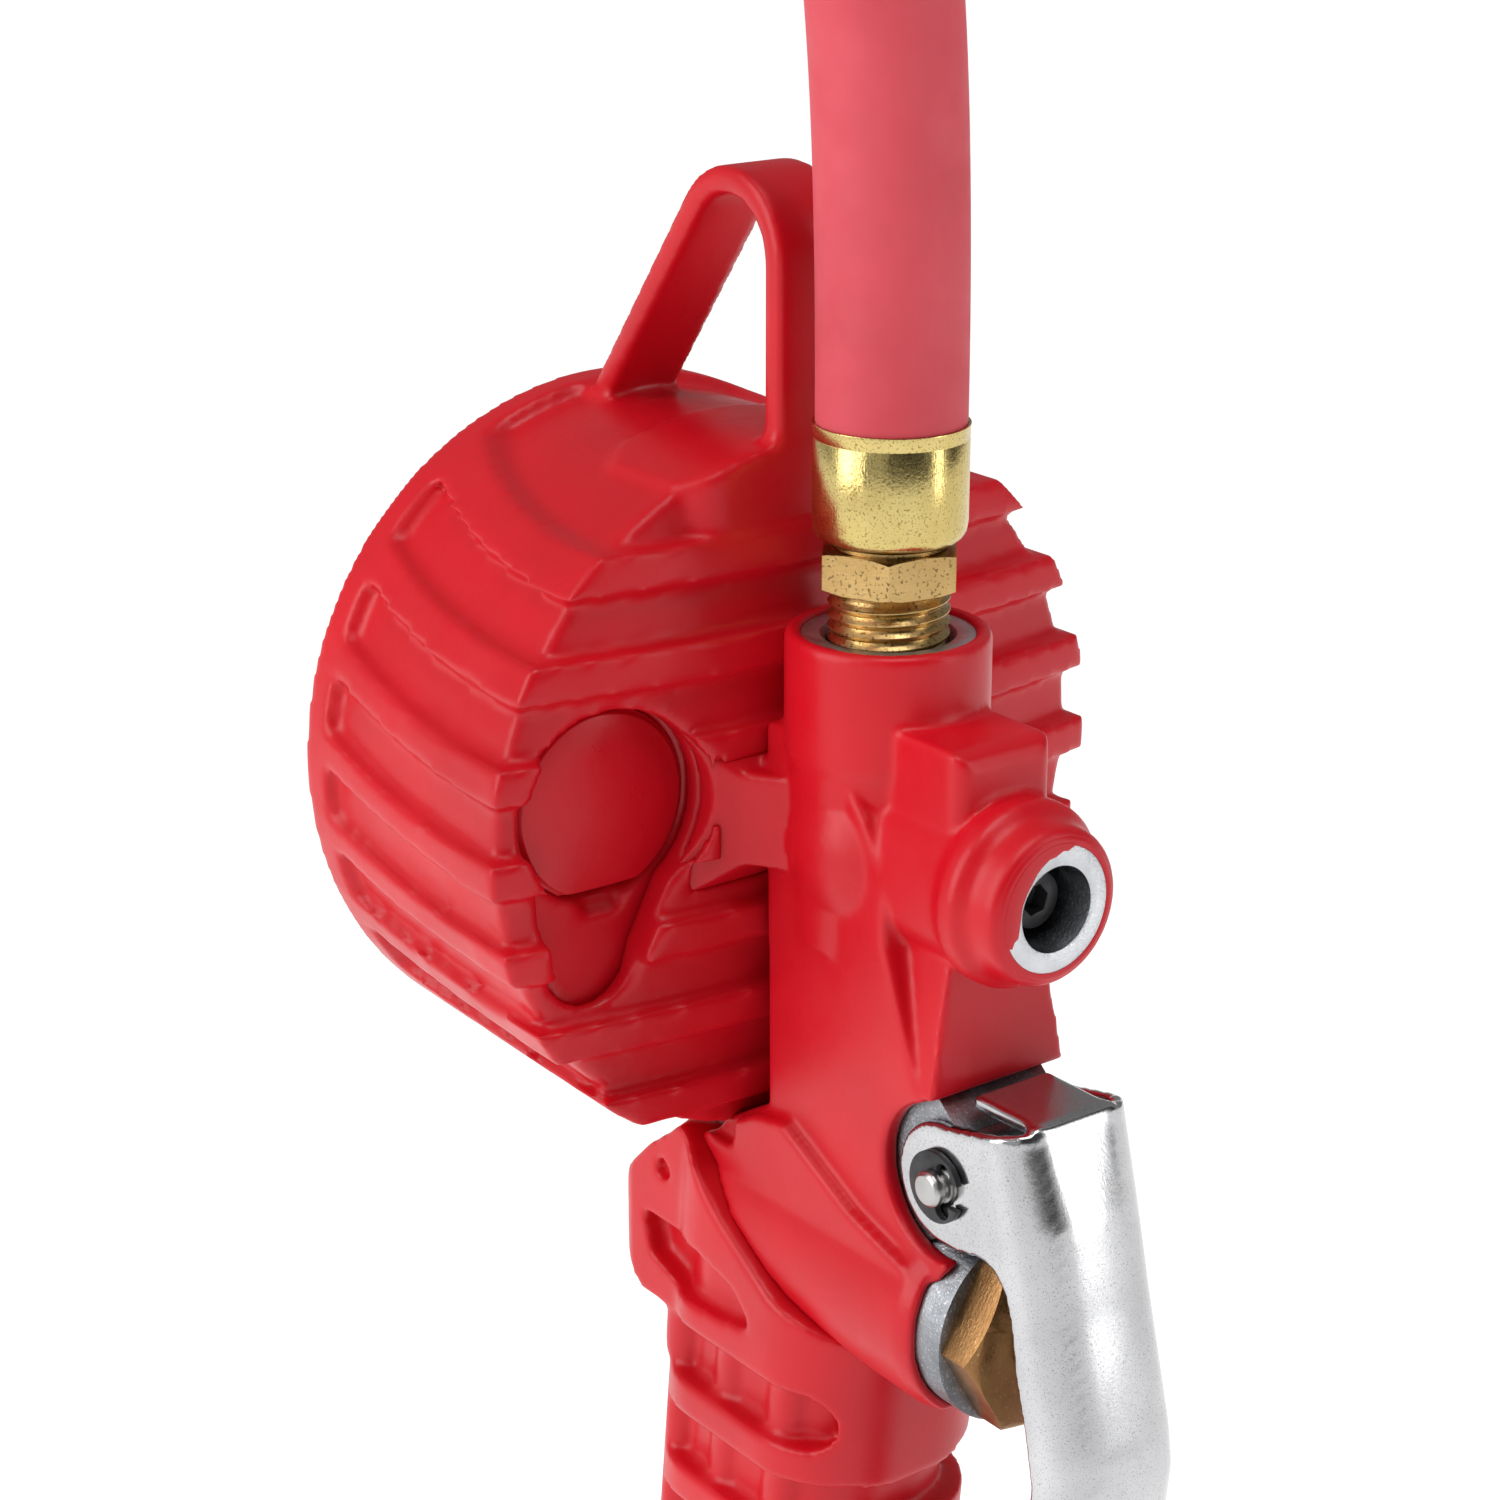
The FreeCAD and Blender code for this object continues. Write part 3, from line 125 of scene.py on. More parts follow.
def add_studio_walls():
    """Soft walls of a studio: panels and gaps are seen in polished metal, and a pale backdrop behind."""
    world = bpy.data.worlds.new("studio")
    world.use_nodes = True
    tree = world.node_tree
    coords = tree.nodes.new("ShaderNodeTexCoord")
    split = tree.nodes.new("ShaderNodeSeparateXYZ")
    tree.links.new(coords.outputs["Generated"], split.inputs[0])
    turn = tree.nodes.new("ShaderNodeMath")
    turn.operation = "ARCTAN2"
    tree.links.new(split.outputs["Y"], turn.inputs[0])
    tree.links.new(split.outputs["X"], turn.inputs[1])
    share = tree.nodes.new("ShaderNodeMapRange")
    share.inputs["From Min"].default_value = -math.pi
    share.inputs["From Max"].default_value = math.pi
    tree.links.new(turn.outputs[0], share.inputs["Value"])
    walls = tree.nodes.new("ShaderNodeValToRGB")
    stops = walls.color_ramp.elements
    for stop, (place, light) in zip(stops, (WALL_PANELS[0], WALL_PANELS[-1])):
        stop.position = place
        stop.color = (light, light, light, 1)
    for place, light in WALL_PANELS[1:-1]:
        stops.new(place).color = (light, light, light, 1)
    tree.links.new(share.outputs["Result"], walls.inputs["Fac"])
    tree.links.new(walls.outputs["Color"], tree.nodes["Background"].inputs["Color"])
    tree.nodes["Background"].inputs["Strength"].default_value = WALL_GLOW
    backdrop = tree.nodes.new("ShaderNodeBackground")
    backdrop.inputs["Color"].default_value = (BACKDROP, BACKDROP, BACKDROP, 1)
    seen = tree.nodes.new("ShaderNodeLightPath")
    choice = tree.nodes.new("ShaderNodeMixShader")
    tree.links.new(seen.outputs["Is Camera Ray"], choice.inputs[0])
    tree.links.new(tree.nodes["Background"].outputs[0], choice.inputs[1])
    tree.links.new(backdrop.outputs[0], choice.inputs[2])
    tree.links.new(choice.outputs[0], tree.nodes["World Output"].inputs["Surface"])
    bpy.context.scene.world = world
    bpy.context.scene.view_settings.view_transform = "Standard"


# ------------------------------------------------------------------ materials
def shader_of(material):
    return material.node_tree.nodes["Principled BSDF"]


def plain(name, colour, rough, metal=0.0, **extra):
    material = bpy.data.materials.new(name)
    material.use_nodes = True
    shader = shader_of(material)
    shader.inputs["Base Color"].default_value = (*colour, 1)
    shader.inputs["Roughness"].default_value = rough
    shader.inputs["Metallic"].default_value = metal
    for key, value in extra.items():
        shader.inputs[key.replace("_", " ")].default_value = value
    return material


def noise(material, scale, detail=3.0, rough=0.5, stretch=(1, 1, 1)):
    tree = material.node_tree
    coords = tree.nodes.new("ShaderNodeTexCoord")
    mapping = tree.nodes.new("ShaderNodeMapping")
    mapping.inputs["Scale"].default_value = stretch
    texture = tree.nodes.new("ShaderNodeTexNoise")
    texture.inputs["Scale"].default_value = scale
    texture.inputs["Detail"].default_value = detail
    texture.inputs["Roughness"].default_value = rough
    tree.links.new(coords.outputs["Object"], mapping.inputs["Vector"])
    tree.links.new(mapping.outputs["Vector"], texture.inputs["Vector"])
    return texture.outputs["Fac"]


def ramp(material, fac, stops):
    tree = material.node_tree
    node = tree.nodes.new("ShaderNodeValToRGB")
    node.color_ramp.elements[0].position = stops[0][0]
    node.color_ramp.elements[0].color = (*stops[0][1], 1)
    node.color_ramp.elements[1].position = stops[-1][0]
    node.color_ramp.elements[1].color = (*stops[-1][1], 1)
    for place, colour in stops[1:-1]:
        node.color_ramp.elements.new(place).color = (*colour, 1)
    tree.links.new(fac, node.inputs["Fac"])
    return node.outputs["Color"]


def spread(material, fac, low, high, source_low=0.3, source_high=0.7):
    node = material.node_tree.nodes.new("ShaderNodeMapRange")
    node.inputs["From Min"].default_value = source_low
    node.inputs["From Max"].default_value = source_high
    node.inputs["To Min"].default_value = low
    node.inputs["To Max"].default_value = high
    material.node_tree.links.new(fac, node.inputs["Value"])
    return node.outputs["Result"]


def feed(material, socket, value):
    material.node_tree.links.new(value, shader_of(material).inputs[socket])


def bump(material, height, distance, strength=1.0, under=None):
    node = material.node_tree.nodes.new("ShaderNodeBump")
    node.inputs["Strength"].default_value = strength
    node.inputs["Distance"].default_value = distance
    material.node_tree.links.new(height, node.inputs["Height"])
    if under is not None:
        material.node_tree.links.new(under, node.inputs["Normal"])
    material.node_tree.links.new(node.outputs["Normal"], shader_of(material).inputs["Normal"])
    return node.outputs["Normal"]


def moulded_red(name, base, deep, rough_low, rough_high):
    material = plain(name, base, 0.4, Specular_IOR_Level=0.34)
    flow = noise(material, 45, 2.0)
    feed(material, "Base Color", ramp(material, flow, [(0.3, deep), (0.7, base)]))
    feed(material, "Roughness", spread(material, noise(material, 160, 4.0, 0.6), rough_low, rough_high))
    first = bump(material, noise(material, 1500, 3.0, 0.6), 0.00004, 0.5)
    bump(material, noise(material, 120, 2.0), 0.0003, 0.25, first)
    return material


def red_jacket():
    return moulded_red("red jacket", (0.60, 0.004, 0.013), (0.50, 0.0025, 0.010), 0.30, 0.42)


def red_shell():
    return moulded_red("red shell", (0.57, 0.004, 0.013), (0.52, 0.003, 0.011), 0.26, 0.36)


def metal(name, light, dark, rough_low, rough_high, grain=(1, 1, 1), grain_scale=300, pits=0.00003,
          scratch=None):
    """Bare or plated metal: clouded tint, uneven polish, fine pits and drawn scratches."""
    material = plain(name, light, rough_high, 1.0)
    tint = noise(material, 90, 4.0, 0.6)
    feed(material, "Base Color", ramp(material, tint, [(0.3, dark), (0.65, light)]))
    polish = noise(material, grain_scale, 5.0, 0.65, grain)
    feed(material, "Roughness", spread(material, polish, rough_low, rough_high))
    first = bump(material, noise(material, 2600, 2.0, 0.5), pits, 0.7)
    if scratch:
        bump(material, noise(material, 700, 3.0, 0.6, scratch), pits, 0.6, first)
    return material


def specked(material, colour, scale, low, high):
    """Sparse specks over the tint that the shader already has."""
    tree = material.node_tree
    base = shader_of(material).inputs["Base Color"]
    under = base.links[0].from_socket
    specks = ramp(material, noise(material, scale, 1.0, 0.4), [(low, (0, 0, 0)), (high, (1, 1, 1))])
    mix = tree.nodes.new("ShaderNodeMix")
    mix.data_type = "RGBA"
    tree.links.new(specks, mix.inputs["Factor"])
    tree.links.new(under, mix.inputs[6])
    mix.inputs[7].default_value = (*colour, 1)
    tree.links.new(mix.outputs[2], base)
    return material


def plated_zinc():
    material = metal("plated zinc", (0.60, 0.60, 0.61), (0.50, 0.50, 0.51), 0.12, 0.24,
                     (1, 1, 0.25), 140, 0.000008, (6, 6, 0.3))
    return specked(material, (0.30, 0.30, 0.31), 6500, 0.60, 0.74)


def cast_aluminium():
    material = metal("cast aluminium", (0.30, 0.31, 0.33), (0.16, 0.17, 0.18), 0.32, 0.52,
                     (1, 1, 1), 400, 0.00008)
    return specked(material, (0.42, 0.43, 0.45), 3800, 0.58, 0.70)


def milled_aluminium():
    return metal("milled aluminium", (0.66, 0.67, 0.69), (0.40, 0.41, 0.43), 0.28, 0.48,
                 (9, 1, 1.5), 240, 0.00012, (0.4, 4, 6))


def turned_brass():
    material = metal("turned brass", (0.60, 0.41, 0.17), (0.40, 0.25, 0.09), 0.20, 0.38,
                     (1, 1, 9), 160, 0.00003, (0.4, 0.4, 9))
    return specked(material, (0.20, 0.13, 0.05), 2600, 0.60, 0.70)


def ferrule_brass():
    material = metal("ferrule brass", (0.68, 0.55, 0.22), (0.54, 0.41, 0.14), 0.17, 0.30,
                     (1, 1, 0.4), 220, 0.00003, (5, 5, 0.5))
    return specked(material, (0.34, 0.25, 0.08), 4200, 0.58, 0.70)


def old_bronze():
    material = metal("old bronze", (0.36, 0.19, 0.075), (0.20, 0.10, 0.04), 0.24, 0.44,
                     (1, 1, 1), 240, 0.00005, (0.5, 6, 0.5))
    return specked(material, (0.42, 0.26, 0.11), 2600, 0.64, 0.78)


def bright_steel():
    return metal("bright steel", (0.52, 0.51, 0.50), (0.34, 0.33, 0.32), 0.22, 0.38,
                 (6, 1, 1), 300, 0.00004, (0.4, 5, 5))


def black_steel():
    material = plain("black oxide steel", (0.02, 0.02, 0.022), 0.45, 0.4)
    feed(material, "Base Color", ramp(material, noise(material, 300, 4.0),
                                      [(0.3, (0.012, 0.012, 0.013)), (0.75, (0.05, 0.05, 0.054))]))
    feed(material, "Roughness", spread(material, noise(material, 500, 3.0), 0.34, 0.55))
    bump(material, noise(material, 2400, 3.0), 0.00003, 0.5)
    return material


def matt(name, colour, light, rough_low, rough_high, grain_scale, depth):
    material = plain(name, colour, rough_high)
    feed(material, "Base Color", ramp(material, noise(material, 80, 3.0), [(0.3, colour), (0.75, light)]))
    feed(material, "Roughness", spread(material, noise(material, 260, 3.0), rough_low, rough_high))
    bump(material, noise(material, grain_scale, 3.0), depth, 0.5)
    return material


def clear_lens():
    material = plain("clear lens", (0.96, 0.98, 1.0), 0.04, 0.0, Transmission_Weight=1.0, IOR=1.49)
    feed(material, "Roughness", spread(material, noise(material, 300, 3.0), 0.015, 0.05))
    bump(material, noise(material, 30, 1.0), 0.00002, 0.2)
    return material


# ------------------------------------------------------------------ mesh helpers
def new_piece(name, bm, material, body, slot, *nodes, sharp=None):
    mesh = bpy.data.meshes.new(name)
    bm.to_mesh(mesh)
    bm.free()
    mesh.shade_smooth()
    if sharp is not None:
        mesh.set_sharp_from_angle(angle=math.radians(sharp))
    piece = bpy.data.objects.new(name, mesh)
    bpy.context.collection.objects.link(piece)
    mesh.materials.append(material)
    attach(piece, body)
    if nodes:
        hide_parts(*nodes)
    return piece


def merged_copy(node):
    bm = bmesh.new()
    bm.from_mesh(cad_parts[node].data)
    bmesh.ops.remove_doubles(bm, verts=bm.verts, dist=2e-6)
    return bm


def shaped_by(bm, *settings):
    """The mesh that a bmesh becomes under modifiers, each given as (kind, values)."""
    rough = bpy.data.meshes.new("rough")
    bm.to_mesh(rough)
    bm.free()
    holder = bpy.data.objects.new("rough", rough)
    bpy.context.collection.objects.link(holder)
    for kind, values in settings:
        modifier = holder.modifiers.new(kind, kind)
        for key, value in values.items():
            setattr(modifier, key, value)
    bpy.context.view_layer.update()
    shaped = holder.evaluated_get(bpy.context.evaluated_depsgraph_get())
    result = bmesh.new()
    result.from_mesh(shaped.to_mesh())
    shaped.to_mesh_clear()
    bpy.data.objects.remove(holder)
    bpy.data.meshes.remove(rough)
    return result


def soft_moulding(node, voxel, passes):
    """A CAD solid remeshed evenly and smoothed, as a moulding with eased edges."""
    return shaped_by(merged_copy(node),
                     ("REMESH", {"mode": "VOXEL", "voxel_size": voxel * MM, "adaptivity": 0.0}),
                     ("SMOOTH", {"factor": 0.5, "iterations": passes}))


def moulded(node, name, voxel, passes, material, body, slot):
    return new_piece(name, soft_moulding(node, voxel, passes), material, body, slot, node)


def crisp(node, name, width, material, body, slot):
    """A CAD solid with its machined edges broken by a small bevel."""
    bm = merged_copy(node)
    bmesh.ops.dissolve_limit(bm, angle_limit=math.radians(1.0), verts=bm.verts, edges=bm.edges)
    bm = shaped_by(bm, ("BEVEL", {"width": width * MM, "segments": 2, "limit_method": "ANGLE",
                                  "angle_limit": math.radians(40), "harden_normals": False,
                                  "use_clamp_overlap": True}))
    bmesh.ops.triangulate(bm, faces=[f for f in bm.faces if len(f.verts) > 4])
    return new_piece(name, bm, material, body, slot, node, sharp=32)


def settle(bm, centre=(0, 0, 0), axis=(0, 0, 1)):
    """Turns a piece drawn in millimetres up the Z axis onto its own axis, in metres."""
    turn = Vector((0, 0, 1)).rotation_difference(Vector(axis)).to_matrix().to_4x4()
    bmesh.ops.transform(bm, matrix=Matrix.Translation(at(*centre)) @ turn @ Matrix.Scale(MM, 4),
                        verts=bm.verts)
    return bm


def spun(profile, steps=96, bm=None):
    """A turned form: a closed (radius, height) outline spun round the Z axis."""
    bm = bm or bmesh.new()
    verts = [bm.verts.new((r, 0, h)) for r, h in profile]
    edges = [bm.edges.new((a, b)) for a, b in zip(verts, verts[1:] + verts[:1])]
    bmesh.ops.spin(bm, geom=verts + edges, cent=(0, 0, 0), axis=(0, 0, 1), angle=2 * math.pi,
                   steps=steps, use_merge=True)
    bmesh.ops.remove_doubles(bm, verts=bm.verts, dist=0.0005)
    bmesh.ops.recalc_face_normals(bm, faces=bm.faces)
    return bm


def add_to(bm, part):
    """Puts one bmesh's pieces into another."""
    carrier = bpy.data.meshes.new("carrier")
    part.to_mesh(carrier)
    part.free()
    bm.from_mesh(carrier)
    bpy.data.meshes.remove(carrier)


def hex_nut(across, low, high, turn, chamfer, bm):
    """A hexagon with turned-off corners at both ends."""
    corner = across / math.sqrt(3)
    nut = bmesh.new()
    bmesh.ops.create_cone(nut, cap_ends=True, cap_tris=False, segments=6, radius1=corner,
                          radius2=corner, depth=high - low)
    rims = [e for e in nut.edges if abs(e.verts[0].co.z - e.verts[1].co.z) < 0.01]
    bmesh.ops.subdivide_edges(nut, edges=rims, cuts=8, use_grid_fill=True)
    for vert in nut.verts:
        beyond = max(0.0, vert.co.xy.length - (across / 2 + 0.25))
        vert.co.z -= math.copysign(beyond * chamfer, vert.co.z)
    bmesh.ops.rotate(nut, matrix=Matrix.Rotation(math.radians(turn), 3, "Z"), verts=nut.verts)
    bmesh.ops.translate(nut, vec=(0, 0, (low + high) / 2), verts=nut.verts)
    add_to(bm, nut)
    return bm


THREAD_STEPS = 72      # round one turn
THREAD_RUN_OUT = 0.2


def thread_coil(crest, root, pitch, low, turns, bm):
    """A screw thread: one tooth's outline carried round and up."""
    tooth = [(root, 0.0), (root + 0.1, 0.12), (crest - 0.08, 0.40), (crest, 0.46), (crest, 0.54),
             (crest - 0.08, 0.60), (root + 0.1, 0.88), (root, 1.0)]
    verts = [bm.verts.new((r, 0, low + h * pitch)) for r, h in tooth]
    edges = [bm.edges.new(pair) for pair in zip(verts, verts[1:])]
    bmesh.ops.spin(bm, geom=verts + edges, cent=(0, 0, 0), axis=(0, 0, 1),
                   angle=2 * math.pi * turns, steps=THREAD_STEPS * turns,
                   dvec=(0, 0, pitch / THREAD_STEPS))
    bmesh.ops.remove_doubles(bm, verts=bm.verts, dist=0.004)
    middle = low + turns * pitch / 2
    for height in (low - THREAD_RUN_OUT, low + (turns + 1) * pitch + THREAD_RUN_OUT):
        rim = [e for e in bm.edges if e.is_boundary and (e.verts[0].co.z > middle) == (height > middle)]
        grown = bmesh.ops.extrude_edge_only(bm, edges=rim)["geom"]
        for vert in [g for g in grown if isinstance(g, bmesh.types.BMVert)]:
            vert.co.z = height
            flat = Vector((vert.co.x, vert.co.y)).normalized() * (root - 0.6)
            vert.co.x, vert.co.y = flat
        bmesh.ops.holes_fill(bm, edges=[e for e in grown if isinstance(e, bmesh.types.BMEdge)], sides=0)
    bmesh.ops.recalc_face_normals(bm, faces=bm.faces)
    return bm


# ------------------------------------------------------------------ the hose
HOSE_ROUTE = [
    (0.0, 0.0, 23.0),
    (0.0, 0.0, 53.0),
    (4.4, -0.3, 88.7),
    (23.5, -1.2, 126.0),
    (58.5, -2.6, 152.6),
    (102.0, -3.8, 160.4),
    (144.0, -4.4, 148.2),
    (177.0, -4.4, 118.8),
    (194.0, -3.8, 80.4),
    (199.0, -3.0, 44.8),
    (200.0, -2.6, 16.8),
]
HOSE_RADIUS = 8.0


def hose_rubber():
    material = plain("hose rubber", (0.60, 0.055, 0.075), 0.62)
    feed(material, "Base Color", ramp(material, noise(material, 60, 3.0, 0.6),
                                      [(0.25, (0.54, 0.042, 0.06)), (0.75, (0.66, 0.07, 0.095))]))
    feed(material, "Roughness", spread(material, noise(material, 220, 3.0), 0.55, 0.70))
    bump(material, noise(material, 900, 4.0, 0.65), 0.00006, 0.6)
    return material


def add_hose():
    curve = bpy.data.curves.new("air_hose", "CURVE")
    curve.dimensions = "3D"
    spline = curve.splines.new("NURBS")
    spline.points.add(len(HOSE_ROUTE) - 1)
    for point, place in zip(spline.points, HOSE_ROUTE):
        point.co = (*at(*place), 1.0)
    spline.order_u = 3
    spline.use_endpoint_u = True
    spline.resolution_u = 24
    curve.bevel_depth = HOSE_RADIUS * MM
    curve.bevel_resolution = 12
    curve.use_fill_caps = True
    hose = bpy.data.objects.new("air_hose", curve)
    bpy.context.collection.objects.link(hose)
    curve.materials.append(hose_rubber())
    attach(hose, "gun")
    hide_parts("hose")


# ------------------------------------------------------------------ fittings on the hose
THREAD_CREST = 6.55
THREAD_ROOT = 5.95
THREAD_PITCH = 1.34
THREAD_LOW = -5.0
THREAD_TURNS = 7
INSERT_HEX = 14.0
INSERT_HEX_LOW = 5.4
INSERT_HEX_HIGH = 9.8
INSERT_HEX_TURN = 20
INSERT_HEX_CHAMFER = 0.4


def hose_insert(brass):
    """Threaded end, hexagon and the neck that the ferrule is crimped against."""
    bm = thread_coil(THREAD_CREST, THREAD_ROOT, THREAD_PITCH, THREAD_LOW, THREAD_TURNS, bmesh.new())
    hex_nut(INSERT_HEX, INSERT_HEX_LOW, INSERT_HEX_HIGH, INSERT_HEX_TURN, INSERT_HEX_CHAMFER, bm)
    spun([(0, 4.6), (5.7, 4.6), (5.7, 5.8), (0, 5.8)], 64, bm)
    spun([(0, 9.6), (5.9, 9.6), (6.15, 9.8), (6.15, 10.2), (5.9, 10.45), (0, 10.45)], 64, bm)
    new_piece("hose_end", settle(bm), brass, "gun", "brass_fitting", "hose_insert", sharp=30)


FERRULE_Z = 10.4


def crimped_ferrule(brass):
    """A drawn cup with a rolled foot, a faint groove and a thin open lip."""
    bm = spun([(5.4, 0.02), (6.6, 0.0), (7.2, 0.12), (7.75, 0.5), (8.08, 1.1), (8.2, 1.8), (8.2, 2.0),
               (8.25, 2.2), (8.25, 10.9), (8.17, 11.05), (8.17, 11.15), (8.25, 11.3), (8.25, 12.1),
               (8.34, 12.5), (8.32, 12.6), (8.02, 12.6), (7.98, 12.4), (7.9, 11.8), (7.9, 2.4),
               (7.0, 0.9), (5.4, 0.8)])
    new_piece("near_ferrule", settle(bm, (0, 0, FERRULE_Z)), brass, "gun", "ferrule_brass",
              "hose_ferrule", sharp=40)


# ------------------------------------------------------------------ the lever
LEVER_FACE = [(32.0, -44.5), (37.0, -65.0), (40.9, -79.5), (41.6, -84.0), (40.9, -91.0), (33.0, -134.0),
              (33.6, -141.0)]
LEVER_HALF = 9.0
CROWN = 0.9                # the front's bulge
CROWN_BELOW_TOP = 1.5
CROWN_GROWS_OVER = 9.0
CROWN_DEPTH = 4.0          # the bulge takes in this much behind the front
CROWN_FADE = 2.6


def clamped(share):
    return max(0.0, min(1.0, share))


def face_at(z):
    """How far forward the lever's front is at a height, in millimetres."""
    for (high_y, high_z), (low_y, low_z) in zip(LEVER_FACE, LEVER_FACE[1:]):
        if z > low_z:
            return high_y + (low_y - high_y) * max(0.0, high_z - z) / (high_z - low_z)
    return LEVER_FACE[-1][0]


def squeeze_lever(plate):
    """Pressed sheet with a crowned front; bends are eased more on the front than at cut edges."""
    bm = soft_moulding("lever", 0.4, 5)
    crowned = []
    for vert in bm.verts:
        x, y, z = (vert.co - PORT) / MM
        drop = LEVER_FACE[0][1] - z
        skin = y - face_at(z)
        if drop < CROWN_BELOW_TOP or skin < -CROWN_DEPTH:
            continue
        crowned.append(vert)
        share = clamped((skin + CROWN_DEPTH) / CROWN_FADE)
        share *= clamped((drop - CROWN_BELOW_TOP) / CROWN_GROWS_OVER)
        across = x / LEVER_HALF
        vert.co.y += CROWN * MM * share * max(0.0, 1.0 - across * across)
    for _ in range(12):
        bmesh.ops.smooth_vert(bm, verts=crowned, factor=0.5, use_axis_x=True, use_axis_y=True,
                              use_axis_z=True)
    new_piece("squeeze_lever", bm, plate, "lever", "plated_steel", "lever")


# ------------------------------------------------------------------ bare milled faces
def milled_face(name, outer, inner, centre, axis, metal_finish):
    """The bare ring left by the cutter on the end of a boss."""
    bm = spun([(inner, -0.3), (outer - 0.1, -0.3), (outer - 0.02, 0.0), (outer - 0.12, 0.05),
               (inner + 0.12, 0.05), (inner, -0.02)])
    new_piece(name, settle(bm, centre, axis), metal_finish, "gun", "cast_aluminium", sharp=35)


# ------------------------------------------------------------------ flash on the boss ring
BOSS_Z = -22.8
BOSS_FRONT = 27.65
BOSS_RING = 6.9
RECESS = 4.7
PORT_RING = 9.35
PORT_MOUTH = 7.3
FLASH_RIM = 7.15
FLASH_BACK = 27.5
FLASH_THICK = 0.3


def boss_flash(red):
    """A ragged skin of red that ran over one side of the bare boss ring."""
    ragged = [(-2.4, 6.6), (-1.2, 6.15), (-0.6, 6.3), (0.4, 5.85), (1.3, 5.75), (2.3, 5.1), (2.9, 4.55),
              (3.5, 3.7), (4.2, 2.7), (4.75, 1.5), (4.9, 0.4), (5.05, -0.8), (5.2, -1.9), (5.7, -2.2),
              (6.0, -2.9), (6.6, -2.7)]
    rim = [(FLASH_RIM * math.cos(math.radians(a)), FLASH_RIM * math.sin(math.radians(a)))
           for a in range(-20, 112, 6)]
    bm = bmesh.new()
    sheet = bm.faces.new([bm.verts.new((x, FLASH_BACK, z)) for x, z in ragged + rim])
    grown = bmesh.ops.extrude_face_region(bm, geom=[sheet])["geom"]
    bmesh.ops.translate(bm, vec=(0, FLASH_THICK, 0),
                        verts=[g for g in grown if isinstance(g, bmesh.types.BMVert)])
    bmesh.ops.translate(bm, vec=(0, 0, BOSS_Z), verts=bm.verts)
    bmesh.ops.recalc_face_normals(bm, faces=bm.faces)
    bmesh.ops.bevel(bm, geom=list(bm.edges), offset=0.07, segments=2, profile=0.5, affect="EDGES",
                    material=-1)
    bmesh.ops.triangulate(bm, faces=[f for f in bm.faces if len(f.verts) > 4])
    settle(bm)
    lip = spun([(6.86, -0.6), (8.05, -0.9), (8.0, -0.35), (7.6, 0.02), (7.1, 0.10), (6.9, 0.02)])
    add_to(bm, settle(lip, (0, BOSS_FRONT, BOSS_Z), (0, 1, 0)))
    new_piece("boss_flash", bm, red, "gun", "red_jacket", sharp=60)


# ------------------------------------------------------------------ gauge face
SEGMENTS = {"a": (0, 1, 0), "b": (1, 0.5, 1), "c": (1, -0.5, 1), "d": (0, -1, 0), "e": (-1, -0.5, 1),
            "f": (-1, 0.5, 1), "g": (0, 0, 0)}
DIGITS = {"3": "abcdg", "2": "abdeg", "5": "acdfg"}


DIGIT_PITCH = 10.5
DIGIT_HALF = 3.1
DIGIT_RISE = 6.0
BAR = 0.9
BAR_LONG = 5.0
BAR_TALL = 5.4
INK = 0.08
DOT = 1.1
DOT_SHIFT = 5.3


def lcd_digits(ink):
    """Generic seven-segment digits standing just proud of the display."""
    low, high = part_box("lcd_panel")
    middle = (Vector(low) + Vector(high)) / 2
    proud = low[1] - 0.02 * MM
    bm = bmesh.new()
    for index, digit in enumerate("325"):
        for part in DIGITS[digit]:
            across, up, standing = SEGMENTS[part]
            wide, tall = (BAR, BAR_TALL) if standing else (BAR_LONG, BAR)
            shift = (index - 1) * DIGIT_PITCH + across * DIGIT_HALF
            place = Vector((middle.x + shift * MM, proud, middle.z + up * DIGIT_RISE * MM))
            bar = bmesh.ops.create_cube(bm, size=1.0)["verts"]
            bmesh.ops.scale(bm, vec=(wide * MM, INK * MM, tall * MM), verts=bar)
            bmesh.ops.translate(bm, vec=place, verts=bar)
    dot = bmesh.ops.create_cube(bm, size=1.0)["verts"]
    bmesh.ops.scale(bm, vec=(DOT * MM, INK * MM, DOT * MM), verts=dot)
    bmesh.ops.translate(bm, vec=(middle.x + DOT_SHIFT * MM, proud,
                                 middle.z - DIGIT_RISE * MM), verts=dot)
    bmesh.ops.bevel(bm, geom=list(bm.edges), offset=0.00002, segments=1, profile=0.5, affect="EDGES",
                    material=-1)
    new_piece("lcd_digits", bm, ink, "gun", "black_plastic", sharp=30)


def paint(material, *nodes):
    """Gives carried-over CAD pieces their finish."""
    for node in nodes:
        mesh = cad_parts[node].data
        mesh.materials.clear()
        mesh.materials.append(material)


# ------------------------------------------------------------------ build
add_camera()
add_stage()
add_studio_walls()
TARGET = (0.0, 0.0, -0.08)
add_light("left_box", (0.92, -0.15, 0.35), TARGET, (0.7, 1.0), 9.0)
add_light("right_box", (-0.53, 0.82, 0.22), TARGET, (0.16, 0.9), 1.8)
add_light("top_box", (0.1, 0.25, 1.0), TARGET, (0.6, 0.6), 5.0)

